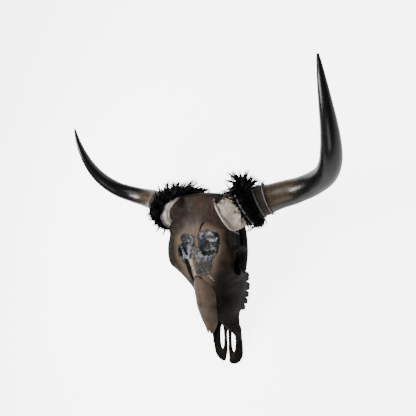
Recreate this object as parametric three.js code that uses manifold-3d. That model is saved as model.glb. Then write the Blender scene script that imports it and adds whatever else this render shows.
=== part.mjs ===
import * as THREE from 'three';
import { mergeVertices } from 'three/addons/utils/BufferGeometryUtils.js';
import Module from 'manifold-3d';

// A bull yak's skull without its lower jaw, with both horn sheaths and the bands tied round their bases.
// Millimetres. +Z is up, the nose points to -Y, and left and right are the animal's own (left is +X).
// The skull rests on the front plates of the upper jaw, the cheek teeth and two prongs at the back.
// All places are measured from the middle of the nose end at floor level, and the group is centred last.

const wasm = await Module();
wasm.setup();

// Gap kept between pieces that touch
const GAP = 0.3;
// Gap kept where the nasal bones lie in their seat
const SEAT_GAP = 0.55;
// Vertices closer than this are one vertex
const WELD = 1e-4;
// Half the width of anything that has to reach past the whole skull
const FAR = 400;
const SIDES = [{ name: 'left', sign: 1 }, { name: 'right', sign: -1 }];

// Sections of the skull, front to back. Each row holds y, then the crown's height on the midline, then
// the roof, side, flank and lower margin as x and z, then the height of the keel on the midline.
const SECTIONS = [
  [48, 14, 30, 16, 40, 14, 45, 10, 42, 5, 7],
  [62, 22, 32, 28, 41, 22, 44.5, 14, 41, 8, 10],
  [80, 40, 33, 47, 40, 34, 43.5, 21, 40, 12, 13],
  [95, 58, 32, 66, 39, 46, 42, 27, 38, 16, 17],
  [110, 80, 30, 87, 38, 62, 41, 35, 36, 18, 21],
  [128, 98, 29, 104, 41, 80, 43, 48, 36, 20, 25],
  [150, 118, 31, 113, 46, 92, 54, 56, 44, 20, 27],
  [180, 134, 33, 124, 56, 100, 64, 60, 48, 20, 28],
  [205, 149, 46, 137, 78, 113, 76, 70, 48, 22, 29],
  [230, 160, 68, 153, 98, 136, 82, 84, 48, 26, 31],
  [255, 169, 82, 167, 104, 156, 74, 98, 50, 34, 36],
  [280, 178, 83, 175, 101, 164, 70, 106, 62, 50, 45],
  [310, 186, 78, 184, 90, 174, 72, 118, 66, 62, 52],
  [345, 193, 77, 190, 91, 181, 74, 122, 64, 64, 54],
  [375, 198, 75, 196, 90, 182, 82, 120, 58, 74, 60],
  [395, 199, 72, 196, 88, 179, 84, 114, 58, 78, 62],
  [406, 197, 66, 191, 76, 167, 72, 110, 44, 82, 72],
  [413, 186, 50, 178, 56, 153, 48, 112, 30, 90, 88],
];
const SECTION_POINTS = 30;
const RINGS_PER_STEP = 1.3;

// Nose cavity, front to back: y, floor height, half width of the floor, then mid and top as x and z
const CAVITY = [
  [40, -12, 29, 36, 28, 35, 80],
  [62, -10, 30, 37, 36, 35, 100],
  [80, -4, 30, 36, 44, 33, 110],
  [96, 22, 28, 32, 54, 24, 120],
  [122, 27, 28, 31, 64, 20, 134],
  [145, 29, 28, 34, 72, 19, 138],
  [172, 32, 25, 33, 84, 18, 138],
  [194, 42, 15, 25, 92, 16, 122],
  [206, 62, 7, 12, 92, 9, 108],
];

// Nasal bones, front to back: y, half width, height at the outer edge and at the middle
const NASAL = [
  [79, 5, 91, 93],
  [84, 9, 90, 97],
  [94, 15, 91, 104],
  [108, 22, 95, 114],
  [124, 27, 103, 123],
  [142, 30, 113.5, 131.5],
  [166, 31.5, 121, 142],
  [186, 32, 128.5, 149],
  [200, 26, 139, 153],
  [210, 15, 149, 155.5],
  [216, 3, 156, 157.5],
];
const NASAL_THICK = 6.5;
const NASAL_EDGE_THICK = 3.5;

// Front plate of the upper jaw seen from above: half outline and its slot, as x and y
const PLATE_OUTLINE = [[5.5, 4], [6, -3], [12, -6], [22, -5], [32, 0], [41, 10], [46, 24], [46.5, 40],
  [44.5, 60], [42.5, 80], [41, 94], [20, 100], [3, 96], [2.5, 60], [2, 24]];
const PLATE_SLOT = { x: 18, nearY: 24, farY: 88, halfWidth: 6.2, turn: 0.06 };
const PLATE_THICK = 8;
const PLATE_RISE = { fromY: 18, slope: 0.17 };
// Bar that rises from the plate along the edge of the nose opening
const NOSE_BAR = { path: [[43, 34, 9], [42, 60, 17], [39, 86, 44], [33, 108, 80]], radius: [4, 5.5, 5.5, 3] };

// Eye socket: the hollow, and the raised rim round it
const SOCKET = { x: 106, y: 259, z: 133, wide: 46, long: 26, high: 24.5 };
const SOCKET_RIM = { x: 87, y: 259, z: 133, radius: 28.5, thick: 6, lean: 0.29 };
// Cheek arch from the jaw to the ear, and the bar behind the eye
const ARCH = {
  path: [[62, 210, 76], [70, 226, 80], [78, 243, 86], [84, 262, 92], [88, 288, 99], [87, 316, 105],
    [82, 340, 107], [70, 362, 108]],
  high: [12, 13, 12, 12, 13, 13, 12, 12],
  squash: 0.5,
};
const EYE_BAR = { path: [[94, 284, 162], [95, 290, 145], [92, 292, 124], [88, 290, 100]], radius: [8, 7, 6.5, 8] };

// Back of the skull
const CONDYLE = { x: 27, y: 396, z: 70, wide: 15, long: 19, high: 20 };
const SPINE_HOLE = { z: 84, radius: 17, fromY: 364, toY: 450, height: 15 };
const PRONG = { path: [[50, 380, 88], [50, 382, 52], [46, 376, 22], [44, 371, -4]], radius: [17, 12, 8, 5.5], squash: 0.6 };
const EAR_BULB = { x: 34, y: 340, z: 50, wide: 10, long: 15, high: 22 };
const EAR_TUBE = { path: [[58, 356, 98], [88, 362, 100]], radius: [11, 8] };
const THROAT = { x: 9, y: 268, z: 42, wide: 8, long: 38, high: 15 };
const THROAT_WING = { path: [[20, 252, 46], [21, 276, 40], [20, 298, 54]], radius: [10, 13, 8], squash: 0.22 };

// Cheek teeth, front to back: centre x, front y, length, width, height of the worn face over the floor
const TEETH = [[34, 134, 15, 14, 0], [38.5, 150, 16, 17, 0], [40, 167, 17, 19, 0], [40, 185, 22, 22, 0],
  [37.5, 208, 25, 22, 3], [34, 234, 26, 20, 12]];
const TOOTH_ROOT = 30;

// Horn: its middle line from the skull to the tip, and its radius at distances along that line
const HORN_LINE = [[76, 363, 174], [112, 378, 166], [152, 394, 152.5], [194, 408, 143.5], [234.5, 417, 145.6],
  [271, 425, 160], [301.5, 434, 184.7], [319, 446.5, 212], [329.3, 463.5, 241], [335, 485.5, 268],
  [337, 514, 294], [337, 547, 316.7], [335.6, 578, 332]];
const HORN_RADIUS = [[0, 32], [50, 32.5], [90, 31.5], [131, 28.9], [171, 25.8], [211, 23.4], [251, 21.5],
  [286, 19.7], [321, 17.4], [356, 14.4], [396, 10.8], [436, 6.8], [461, 3.6], [473, 1.4]];
// Where the sheath ends on its bone core
const HORN_BEGINS = 9;
const HORN_SIDES = 12;
const HORN_RINGS = 26;
// Rings of the horn that the bands reach over
const BAND_RINGS = 8;
const HORN_CORE = { from: [36, 358, 178], radius: 15, endRadius: 31 };

// Swelling of the brow on each side that ends on the first band's face, and the way it faces inside
const HORN_ROOT = {
  left: { from: [50, 350, 154], radius: 44 },
  right: { from: [14, 354, 156], radius: 40 },
};
const HORN_ROOT_WAY = [1, 0.3, -0.05];
// Bands round each horn base: where each begins and ends along the horn line, its radius at both ends,
// and how far its middle swells out. The bands of the right horn sit nearer the skull.
const BANDS = {
  left: {
    hide: { from: -4, to: 43, radius: [43.5, 41.5] },
    fur: { from: 43, to: 79, radius: [41, 36.5], bulge: 17 },
    cuff: { from: 79, to: 106, radius: [34.5, 33.5] },
  },
  right: {
    hide: { from: -34, to: -3, radius: [43, 42] },
    fur: { from: -3, to: 68, radius: [42, 36.5], bulge: 10 },
    cuff: { from: 68, to: 100, radius: [34.5, 33.5] },
  },
};
// Distance of a tie from the end of the band it is tied round
const TIE_INSET = 3.2;
const TIE_THICK = 2.3;
const TIE_CLEAR = 1.2;
const TIE_SIDES = 5;
const BAND_SIDES = 18;
const FUR_STEPS = 4;
// Room the skull leaves round the bands and their ties
const BAND_ROOM = TIE_THICK * 2 + TIE_CLEAR + 1.6;
// Way the bands face where they meet the skull, before they turn to follow the horn
const BAND_LEAN = new THREE.Vector3(0.8, 0.539, -0.269).normalize();
// Way the right bands' middle line runs before the horn line's start, drawn for the left side
const RIGHT_WAY_IN = new THREE.Vector3(0.968, -0.25, -0.04).normalize();
const LEAN_STARTS = 40;
const LEAN_ENDS = 118;

const bone = new THREE.MeshStandardMaterial({ color: 0x4a3a30, roughness: 0.55, metalness: 0 });
const horn = new THREE.MeshStandardMaterial({ color: 0x2a231c, roughness: 0.35, metalness: 0 });
const hide = new THREE.MeshStandardMaterial({ color: 0xd8cfc2, roughness: 0.9, metalness: 0 });
const fur = new THREE.MeshStandardMaterial({ color: 0x141318, roughness: 0.95, metalness: 0 });
const leather = new THREE.MeshStandardMaterial({ color: 0x4b3a2d, roughness: 0.8, metalness: 0 });
const twine = new THREE.MeshStandardMaterial({ color: 0x9a949c, roughness: 0.7, metalness: 0 });

// Value at place s of a list of [place, value] pairs, straight between them
function ramp(pairs, s) {
  if (s <= pairs[0][0]) return pairs[0][1];
  for (let i = 1; i < pairs.length; i += 1) {
    const [s0, v0] = pairs[i - 1];
    const [s1, v1] = pairs[i];
    if (s <= s1) return THREE.MathUtils.mapLinear(s, s0, s1, v0, v1);
  }
  return pairs[pairs.length - 1][1];
}

// Turns any closed geometry into a solid with its faces pointing out
function solidOf(geometry) {
  const bare = new THREE.BufferGeometry();
  bare.setAttribute('position', geometry.getAttribute('position'));
  if (geometry.index) bare.setIndex(geometry.index);
  const welded = mergeVertices(bare, WELD);
  const place = welded.getAttribute('position');
  const triVerts = new Uint32Array(welded.index.array);
  const a = new THREE.Vector3();
  const b = new THREE.Vector3();
  const c = new THREE.Vector3();
  let volume = 0;
  for (let i = 0; i < triVerts.length; i += 3) {
    a.fromBufferAttribute(place, triVerts[i]);
    b.fromBufferAttribute(place, triVerts[i + 1]);
    c.fromBufferAttribute(place, triVerts[i + 2]);
    volume += a.dot(b.cross(c));
  }
  if (volume < 0) {
    for (let i = 0; i < triVerts.length; i += 3) {
      [triVerts[i + 1], triVerts[i + 2]] = [triVerts[i + 2], triVerts[i + 1]];
    }
  }
  const vertProperties = new Float32Array(place.array);
  return new wasm.Manifold(new wasm.Mesh({ numProp: 3, vertProperties, triVerts }));
}

// Joins a row of closed rings into one skin and closes both ends
function loft(rings) {
  const around = rings[0].length;
  const points = rings.flat();
  const faces = [];
  for (let r = 0; r < rings.length - 1; r += 1) {
    for (let i = 0; i < around; i += 1) {
      const j = (i + 1) % around;
      const a = r * around + i;
      const b = r * around + j;
      const c = a + around;
      const d = b + around;
      faces.push(a, b, d, a, d, c);
    }
  }
  const middle = (ring) => ring.reduce((sum, p) => sum.add(p), new THREE.Vector3()).divideScalar(around);
  const first = points.length;
  points.push(middle(rings[0]), middle(rings[rings.length - 1]));
  const last = (rings.length - 1) * around;
  for (let i = 0; i < around; i += 1) {
    const j = (i + 1) % around;
    faces.push(first, j, i, first + 1, last + i, last + j);
  }
  const geometry = new THREE.BufferGeometry().setFromPoints(points);
  geometry.setIndex(faces);
  return solidOf(geometry);
}

// A smooth closed section through the half outline of x and z pairs, which starts and ends on the midline
function mirrorSection(y, half, count) {
  const inner = half.slice(1, -1);
  const points = [
    ...half.map(([x, z]) => new THREE.Vector3(x, y, z)),
    ...inner.reverse().map(([x, z]) => new THREE.Vector3(-x, y, z)),
  ];
  const curve = new THREE.CatmullRomCurve3(points, true, 'centripetal');
  return Array.from({ length: count }, (_, i) => curve.getPoint(i / count));
}

// Smooth numbers between the rows of a table
function blendRows(table, perStep) {
  const steps = Math.round((table.length - 1) * perStep);
  return Array.from({ length: steps + 1 }, (_, i) => {
    const at = (i / steps) * (table.length - 1);
    const k = Math.min(Math.floor(at), table.length - 2);
    const before = table[Math.max(k - 1, 0)];
    const after = table[Math.min(k + 2, table.length - 1)];
    const t = at - k;
    return table[k].map((value, n) => {
      const next = table[k + 1][n];
      const slope0 = (next - before[n]) / 2;
      const slope1 = (after[n] - value) / 2;
      const t2 = t * t;
      const t3 = t2 * t;
      return (2 * t3 - 3 * t2 + 1) * value + (t3 - 2 * t2 + t) * slope0
        + (3 * t2 - 2 * t3) * next + (t3 - t2) * slope1;
    });
  });
}

// Two directions across a line that runs along axis, the first as near to straight up as it can be
function across(axis) {
  const up = Math.abs(axis.z) > 0.9 ? new THREE.Vector3(0, 1, 0) : new THREE.Vector3(0, 0, 1);
  const first = up.addScaledVector(axis, -up.dot(axis)).normalize();
  return [first, new THREE.Vector3().crossVectors(axis, first)];
}

// A ring of points round a centre
function ring(centre, axis, radius, sides, squash = 1) {
  const [first, second] = across(axis);
  return Array.from({ length: sides }, (_, i) => {
    const turn = (i / sides) * Math.PI * 2;
    return centre.clone()
      .addScaledVector(first, Math.cos(turn) * radius)
      .addScaledVector(second, Math.sin(turn) * radius * squash);
  });
}

// A rounded bar through the path's points, with a radius for each of them
function bar({ path, radius, squash = 1 }, sign, sides = 10, steps = 8) {
  const curve = new THREE.CatmullRomCurve3(path.map(([x, y, z]) => new THREE.Vector3(x * sign, y, z)));
  const rings = Array.from({ length: steps + 1 }, (_, i) => {
    const t = i / steps;
    const at = t * (radius.length - 1);
    const k = Math.min(Math.floor(at), radius.length - 2);
    const size = THREE.MathUtils.lerp(radius[k], radius[k + 1], at - k);
    return ring(curve.getPoint(t), curve.getTangent(t), size, sides, squash);
  });
  return loft(rings);
}

// An egg shape with its own size each way
function egg({ x, y, z, wide, long, high }, sign, around = 14, down = 9) {
  const shape = new THREE.SphereGeometry(1, around, down);
  shape.scale(wide, long, high);
  shape.translate(x * sign, y, z);
  return solidOf(shape);
}

// A slab that runs sideways from x0 to x1, with the given outline of y and z pairs
function slab(outline, x0, x1) {
  const shape = new THREE.Shape(outline.map(([y, z]) => new THREE.Vector2(y, z)));
  const block = new THREE.ExtrudeGeometry(shape, { depth: x1 - x0, bevelEnabled: false });
  const turn = new THREE.Matrix4().set(0, 0, 1, x0, 1, 0, 0, 0, 0, 1, 0, 0, 0, 0, 0, 1);
  block.applyMatrix4(turn);
  return solidOf(block);
}

// The same slab on the left or the right of the skull
function sideSlab(outline, near, far, sign) {
  return sign > 0 ? slab(outline, near, far) : slab(outline, -far, -near);
}

// The outline moved outwards by a distance
function grown(outline, distance) {
  const area = outline.reduce((sum, [x, y], i) => {
    const [nx, ny] = outline[(i + 1) % outline.length];
    return sum + x * ny - nx * y;
  }, 0);
  const out = area > 0 ? 1 : -1;
  return outline.map((point, i) => {
    const here = new THREE.Vector2(...point);
    const before = new THREE.Vector2(...outline[(i + outline.length - 1) % outline.length]);
    const after = new THREE.Vector2(...outline[(i + 1) % outline.length]);
    const d0 = here.clone().sub(before).normalize();
    const d1 = after.sub(here).normalize();
    const n0 = new THREE.Vector2(d0.y, -d0.x).multiplyScalar(out);
    const n1 = new THREE.Vector2(d1.y, -d1.x).multiplyScalar(out);
    const middle = n0.clone().add(n1).normalize();
    return here.addScaledVector(middle, distance / Math.max(middle.dot(n0), 0.4)).toArray();
  });
}

// The biggest closed body of a solid
function largest(solid) {
  return solid.decompose().reduce((best, body) => (body.volume() > best.volume() ? body : best));
}

// Long body of the skull, from the cheeks to the back of the head
function headBody() {
  const rings = blendRows(SECTIONS, RINGS_PER_STEP).map(([y, crown, rx, rz, sx, sz, fx, fz, mx, mz, keel]) => (
    mirrorSection(y, [[0, crown], [rx, rz], [sx, sz], [fx, fz], [mx, mz], [0, keel]], SECTION_POINTS)
  ));
  return loft(rings);
}

// Hollow of the nose, open at the front and above where the nasal bones have ended
function noseHollow() {
  const rings = blendRows(CAVITY, 1.2).map(([y, floor, lowX, midX, midZ, topX, topZ]) => (
    mirrorSection(y, [[0, floor], [lowX, floor + 1], [midX, midZ], [topX, topZ], [0, topZ + 5]], 20)
  ));
  return loft(rings);
}

// One arched nasal bone, made larger all round by extra and taller by lift to cut its own seat
function nasalBone(sign, extra = 0, lift = 0) {
  const rings = blendRows(NASAL, 1).map(([y, half, edgeZ, midZ], i, rows) => {
    const end = i === 0 ? -extra : i === rows.length - 1 ? extra : 0;
    const inner = extra > 0 ? -1 : GAP / 2;
    const outer = half + extra;
    const fractions = [0, 0.35, 0.68, 1];
    const place = (f, drop) => {
      const z = edgeZ + (midZ - edgeZ) * (1 - f ** 2.2) - drop;
      return new THREE.Vector3(sign * THREE.MathUtils.lerp(inner, outer, f), y + end, z);
    };
    const thick = (f) => THREE.MathUtils.lerp(NASAL_THICK, NASAL_EDGE_THICK, f) + extra * 2;
    return [
      ...fractions.map((f) => place(f, -lift)),
      ...[...fractions].reverse().map((f) => place(f, thick(f))),
    ];
  });
  return loft(rings);
}

// Underside height of the front plate
function plateFloor(y) {
  return Math.max(0, y - PLATE_RISE.fromY) * PLATE_RISE.slope;
}

// Flat front plate with its long slot, bent up towards the back
function frontPlate(sign) {
  const corners = PLATE_OUTLINE.map(([x, y]) => new THREE.Vector3(x, y, 0));
  const outline = new THREE.CatmullRomCurve3(corners, true, 'centripetal').getPoints(44);
  const shape = new THREE.Shape(outline.map((p) => new THREE.Vector2(p.x, p.y)));
  const slot = new THREE.Path();
  const { x, nearY, farY, halfWidth, turn } = PLATE_SLOT;
  slot.absellipse(x, (nearY + farY) / 2, halfWidth, (farY - nearY) / 2, 0, Math.PI * 2, true, turn);
  shape.holes.push(slot);
  const plate = new THREE.ExtrudeGeometry(shape, {
    depth: PLATE_THICK - 3, bevelEnabled: true, bevelThickness: 1.5, bevelSize: 1.2, bevelOffset: -1.2,
    bevelSegments: 1, curveSegments: 16,
  });
  plate.translate(0, 0, 1.5);
  const at = plate.getAttribute('position');
  for (let i = 0; i < at.count; i += 1) {
    at.setZ(i, at.getZ(i) + plateFloor(at.getY(i)));
    at.setX(i, at.getX(i) * sign);
  }
  return solidOf(plate);
}

// One cheek tooth: two rounded lobes side by side, its root sunk into the jaw
function cheekTooth([x, y, length, width, worn], sign) {
  const lobe = width / 2;
  const outline = [
    [-lobe, 0.06], [-lobe * 0.9, 0.42], [-lobe * 0.74, 0.5], [-lobe * 0.9, 0.58], [-lobe, 0.94],
    [0, 1], [lobe, 0.9], [lobe * 1.05, 0.6], [lobe * 0.86, 0.5], [lobe * 1.05, 0.4], [lobe, 0.1], [0, 0],
  ];
  const rings = [worn, TOOTH_ROOT + worn].map((z) => outline.map(([over, along]) => {
    const shrink = z > worn ? 0.8 : 1;
    const py = y + length * (0.5 + (along - 0.5) * shrink * 0.96);
    return new THREE.Vector3((x + over * shrink) * sign, py, z);
  }));
  return loft(rings);
}

// Raised rim round the eye socket
function socketRim(sign) {
  const rim = new THREE.TorusGeometry(SOCKET_RIM.radius, SOCKET_RIM.thick, 7, 20);
  rim.rotateY(Math.PI / 2);
  rim.rotateY(SOCKET_RIM.lean);
  rim.translate(SOCKET_RIM.x, SOCKET_RIM.y, SOCKET_RIM.z);
  rim.scale(sign, 1, 1);
  return solidOf(rim);
}

// Middle line of the horn as a curve
const hornLine = new THREE.CatmullRomCurve3(HORN_LINE.map((p) => new THREE.Vector3(...p)));
const hornLength = hornLine.getLength();

// Place and direction on the horn line at a distance
function onHorn(s) {
  const u = THREE.MathUtils.clamp(s / hornLength, 0, 1);
  return { point: hornLine.getPointAt(u), along: hornLine.getTangentAt(u) };
}

// Mirrors a vector to the side wanted
function toSide(vector, sign) {
  return new THREE.Vector3(vector.x * sign, vector.y, vector.z);
}

// The horn sheath, or its first rings made thicker all round by extra
function hornSolid(sign, count = HORN_RINGS, extra = 0) {
  const rings = Array.from({ length: count + 1 }, (_, i) => {
    const start = HORN_BEGINS + (extra > 0 ? -GAP : GAP);
    const s = THREE.MathUtils.lerp(start, hornLength, i / HORN_RINGS);
    const { point, along } = onHorn(s);
    return ring(toSide(point, sign), toSide(along, sign), ramp(HORN_RADIUS, s) + extra, HORN_SIDES);
  });
  return loft(rings);
}

// Bone core that carries the horn, from inside the skull to the horn's base
function hornCore(sign, extra = 0) {
  const { point, along } = onHorn(HORN_BEGINS);
  const start = toSide(new THREE.Vector3(...HORN_CORE.from), sign);
  const end = toSide(point, sign);
  const axis = toSide(along, sign);
  const middle = start.clone().lerp(end, 0.6);
  const midRadius = THREE.MathUtils.lerp(HORN_CORE.radius, HORN_CORE.endRadius, 0.75);
  return loft([
    ring(start, axis, HORN_CORE.radius + extra, HORN_SIDES),
    ring(middle, axis, midRadius + extra, HORN_SIDES),
    ring(end, axis, HORN_CORE.endRadius + extra, HORN_SIDES),
  ]);
}

// Swelling of the brow that ends on the first band's face
function hornRoot(sign, root, { from, radius }) {
  const { centre, axis } = onBand(from - GAP, sign);
  const start = toSide(new THREE.Vector3(...root.from), sign);
  const way = toSide(new THREE.Vector3(...HORN_ROOT_WAY).normalize(), sign);
  const middle = start.clone().lerp(centre, 0.6);
  return loft([
    ring(start, way, root.radius, BAND_SIDES),
    ring(middle, way.clone().lerp(axis, 0.6).normalize(), radius[0] - 1, BAND_SIDES),
    ring(centre, axis, radius[0] - 1, BAND_SIDES),
  ]);
}

// Place and facing of a band at a distance along the horn, also before the horn line's start
function onBand(s, sign) {
  const { point, along } = onHorn(s);
  if (s < 0) point.addScaledVector(sign > 0 ? along : RIGHT_WAY_IN, s);
  const blend = THREE.MathUtils.smoothstep(s, LEAN_STARTS, LEAN_ENDS);
  const axis = BAND_LEAN.clone().lerp(along, blend).normalize();
  return { centre: toSide(point, sign), axis: toSide(axis, sign) };
}

// A band round the horn base between two distances, before the horn's own room is taken out
function bandBody(sign, { from, to, radius, bulge = 0 }, extra = 0, steps = 2) {
  const rings = Array.from({ length: steps + 1 }, (_, i) => {
    const t = i / steps;
    const { centre, axis } = onBand(THREE.MathUtils.lerp(from, to, t), sign);
    const size = THREE.MathUtils.lerp(radius[0], radius[1], t) + extra;
    return ring(centre, axis, size + bulge * Math.sin(Math.PI * t), BAND_SIDES);
  });
  return loft(rings);
}

// A turn of twine round a band at a distance along the horn, just clear of the band's thicker side
function tie(sign, s, { from, to, radius }) {
  const { centre, axis } = onBand(s, sign);
  const under = THREE.MathUtils.mapLinear(s - TIE_THICK, from, to, radius[0], radius[1]);
  const turns = ring(centre, axis, under + TIE_THICK + TIE_CLEAR, BAND_SIDES);
  const points = [];
  const faces = [];
  turns.forEach((point, i) => {
    const out = point.clone().sub(centre).normalize();
    for (let k = 0; k < TIE_SIDES; k += 1) {
      const turn = (k / TIE_SIDES) * Math.PI * 2;
      points.push(point.clone()
        .addScaledVector(out, Math.cos(turn) * TIE_THICK)
        .addScaledVector(axis, Math.sin(turn) * TIE_THICK));
      const j = (k + 1) % TIE_SIDES;
      const n = ((i + 1) % BAND_SIDES) * TIE_SIDES;
      const a = i * TIE_SIDES;
      faces.push(a + k, a + j, n + j, a + k, n + j, n + k);
    }
  });
  const geometry = new THREE.BufferGeometry().setFromPoints(points);
  geometry.setIndex(faces);
  return solidOf(geometry);
}

// Side outlines, as y and z pairs, of the bones that the whole skull is parted into
const JAW_FRONT_OUTLINE = [[-40, -20], [76, -20], [80, 10], [98, 42], [113, 68], [124, 96], [126, 140], [-40, 140]];
const CHEEK_OUTLINE = [[204, 70], [205, 97], [222, 112], [232, 126], [290, 126], [306, 118], [318, 110],
  [311, 84], [262, 68], [236, 60]];
const CHEEK_NEAR = 60;
const JAW_OUTLINE = [[20, -20], [286, -20], [282, 42], [262, 52], [238, 57], [206, 73], [207, 98], [197, 117],
  [178, 134], [172, 220], [20, 220]];

// The whole skull as one solid, before it is parted into its bones
function wholeSkull() {
  let whole = headBody().subtract(noseHollow());
  const throat = [];
  for (const { sign } of SIDES) {
    whole = whole.add(frontPlate(sign));
    whole = whole.add(bar(NOSE_BAR, sign, 8, 6));
    whole = whole.add(bar({ path: ARCH.path, radius: ARCH.high, squash: ARCH.squash }, sign, 10, 12));
    whole = whole.add(socketRim(sign));
    whole = whole.subtract(egg(SOCKET, sign, 16, 10));
    whole = whole.add(bar(EYE_BAR, sign, 8, 6));
    whole = whole.add(egg(CONDYLE, sign));
    whole = whole.add(bar(PRONG, sign, 10, 6));
    whole = whole.add(egg(EAR_BULB, sign, 10, 7));
    whole = whole.add(bar(EAR_TUBE, sign, 8, 2));
    whole = whole.add(bar(THROAT_WING, sign, 8, 5));
    throat.push(egg(THROAT, sign, 10, 7));
    for (const row of TEETH) whole = whole.add(cheekTooth(row, sign));
  }
  for (const hole of throat) whole = whole.subtract(hole);
  return whole.subtract(spineHole()).subtract(belowFloor());
}

// Round hole for the spinal cord at the back
function spineHole() {
  const { z, radius, height, fromY, toY } = SPINE_HOLE;
  const outline = Array.from({ length: 14 }, (_, i) => {
    const turn = (i / 14) * Math.PI * 2;
    return [Math.cos(turn) * radius, Math.sin(turn) * height];
  });
  const rings = [fromY, toY].map((y) => outline.map(([x, dz]) => new THREE.Vector3(x, y, z + dz)));
  return loft(rings);
}

// Everything lower than the floor the skull stands on
function belowFloor() {
  const block = new THREE.BoxGeometry(FAR * 2, FAR * 4, FAR);
  block.translate(0, 0, -FAR / 2);
  return solidOf(block);
}

const skull = new THREE.Group();

// Adds a solid to the skull as a named mesh
function addMesh(name, solid, material) {
  const { vertProperties, triVerts } = largest(solid).getMesh();
  const geometry = new THREE.BufferGeometry();
  geometry.setAttribute('position', new THREE.BufferAttribute(new Float32Array(vertProperties), 3));
  geometry.setIndex(new THREE.BufferAttribute(new Uint32Array(triVerts), 1));
  geometry.computeVertexNormals();
  const mesh = new THREE.Mesh(geometry, material);
  mesh.name = name;
  skull.add(mesh);
}

// Parts the whole skull into its bones, with the gap between them
function buildBones() {
  let whole = wholeSkull();
  for (const { sign } of SIDES) whole = whole.subtract(nasalBone(sign, SEAT_GAP, 60));
  let cranium = whole;
  for (const { name, sign } of SIDES) {
    const frontJaw = sideSlab(JAW_FRONT_OUTLINE, GAP / 2, FAR, sign);
    const cheek = sideSlab(CHEEK_OUTLINE, CHEEK_NEAR, FAR, sign);
    const frontJawRoom = sideSlab(grown(JAW_FRONT_OUTLINE, GAP), -GAP, FAR, sign);
    const cheekRoom = sideSlab(grown(CHEEK_OUTLINE, GAP), CHEEK_NEAR - GAP, FAR, sign);
    const jaw = sideSlab(JAW_OUTLINE, GAP / 2, FAR, sign);
    const jawRoom = sideSlab(grown(JAW_OUTLINE, GAP), -GAP, FAR, sign);
    addMesh(`premaxilla_${name}`, whole.intersect(frontJaw), bone);
    addMesh(`cheekbone_${name}`, whole.intersect(cheek), bone);
    addMesh(`maxilla_${name}`, whole.intersect(jaw).subtract(frontJawRoom).subtract(cheekRoom), bone);
    addMesh(`nasal_${name}`, nasalBone(sign), bone);
    cranium = cranium.subtract(frontJawRoom).subtract(cheekRoom).subtract(jawRoom);
  }
  for (const { name, sign } of SIDES) {
    const { hide: wrap, fur: tuft } = BANDS[name];
    const wrapRoom = bandBody(sign, { ...wrap, from: wrap.from - GAP, to: wrap.to + GAP }, BAND_ROOM);
    const furRoom = bandBody(sign, tuft, BAND_ROOM, FUR_STEPS);
    cranium = cranium.add(hornRoot(sign, HORN_ROOT[name], wrap));
    cranium = cranium.subtract(wrapRoom).subtract(furRoom).add(hornCore(sign));
  }
  addMesh('cranium', cranium, bone);
}

// Horn sheath and the bands tied round its base
function buildHorn({ name, sign }) {
  const bands = BANDS[name];
  const wrap = bands.hide;
  const furBand = { ...bands.fur, from: bands.fur.from + GAP };
  const cuff = { ...bands.cuff, from: bands.cuff.from + GAP };
  const inside = hornCore(sign, GAP).add(hornSolid(sign, BAND_RINGS, GAP));
  addMesh(`horn_${name}`, hornSolid(sign), horn);
  addMesh(`hide_wrap_${name}`, bandBody(sign, wrap).subtract(inside), hide);
  addMesh(`fur_band_${name}`, bandBody(sign, furBand, 0, FUR_STEPS).subtract(inside), fur);
  addMesh(`leather_cuff_${name}`, bandBody(sign, cuff).subtract(inside), leather);
  addMesh(`tie_skull_${name}`, tie(sign, wrap.from + TIE_INSET, wrap), twine);
  addMesh(`tie_hide_${name}`, tie(sign, wrap.to - TIE_INSET, wrap), twine);
  addMesh(`tie_fur_${name}`, tie(sign, cuff.from + TIE_INSET, cuff), twine);
  addMesh(`tie_cuff_${name}`, tie(sign, cuff.to - TIE_INSET, cuff), twine);
}

buildBones();
SIDES.forEach(buildHorn);

// Puts the middle of the whole model's base at the origin
const box = new THREE.Box3().setFromObject(skull);
skull.position.set(-(box.min.x + box.max.x) / 2, -(box.min.y + box.max.y) / 2, -box.min.z);

export default skull;
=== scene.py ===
"""A yak skull with its horns, and the hide, fur, leather and twine tied round their bases.

Lengths are millimetres in the skull's own rest frame, where y runs from the nose end to the back of the head,
until a mesh is made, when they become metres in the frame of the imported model.
"""

import logging
import math
from dataclasses import dataclass, field
from enum import Enum
from functools import reduce
from itertools import product

import bmesh
import bpy
import numpy as np
from mathutils import Matrix, Vector


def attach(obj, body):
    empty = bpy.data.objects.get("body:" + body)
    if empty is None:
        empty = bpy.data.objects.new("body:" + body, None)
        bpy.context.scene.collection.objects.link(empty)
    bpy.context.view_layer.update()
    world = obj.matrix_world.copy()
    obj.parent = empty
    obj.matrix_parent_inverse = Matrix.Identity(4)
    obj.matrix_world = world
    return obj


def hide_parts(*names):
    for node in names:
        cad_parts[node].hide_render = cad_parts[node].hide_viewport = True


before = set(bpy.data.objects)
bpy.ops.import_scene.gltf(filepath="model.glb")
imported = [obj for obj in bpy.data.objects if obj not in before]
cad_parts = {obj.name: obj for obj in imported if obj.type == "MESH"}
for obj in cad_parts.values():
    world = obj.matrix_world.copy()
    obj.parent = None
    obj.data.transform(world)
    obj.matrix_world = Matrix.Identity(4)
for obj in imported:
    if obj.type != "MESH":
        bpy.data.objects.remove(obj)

LOG = logging.getLogger("yak_skull")
MM = 0.001
FRAME_SHIFT = np.array([0.0, 286.298, 0.0])
GAP = 0.3
OFBAKE_PATCH = 0.003
WEAR_GROUP = "worn_surface"
SOCKET = (259, 133)
SHARP_ANGLE = math.radians(42)
SKIN_SWELL = 0.55

Array = np.ndarray
Thing = bpy.types.Object
Tree = bpy.types.NodeTree
Socket = bpy.types.NodeSocket


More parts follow.
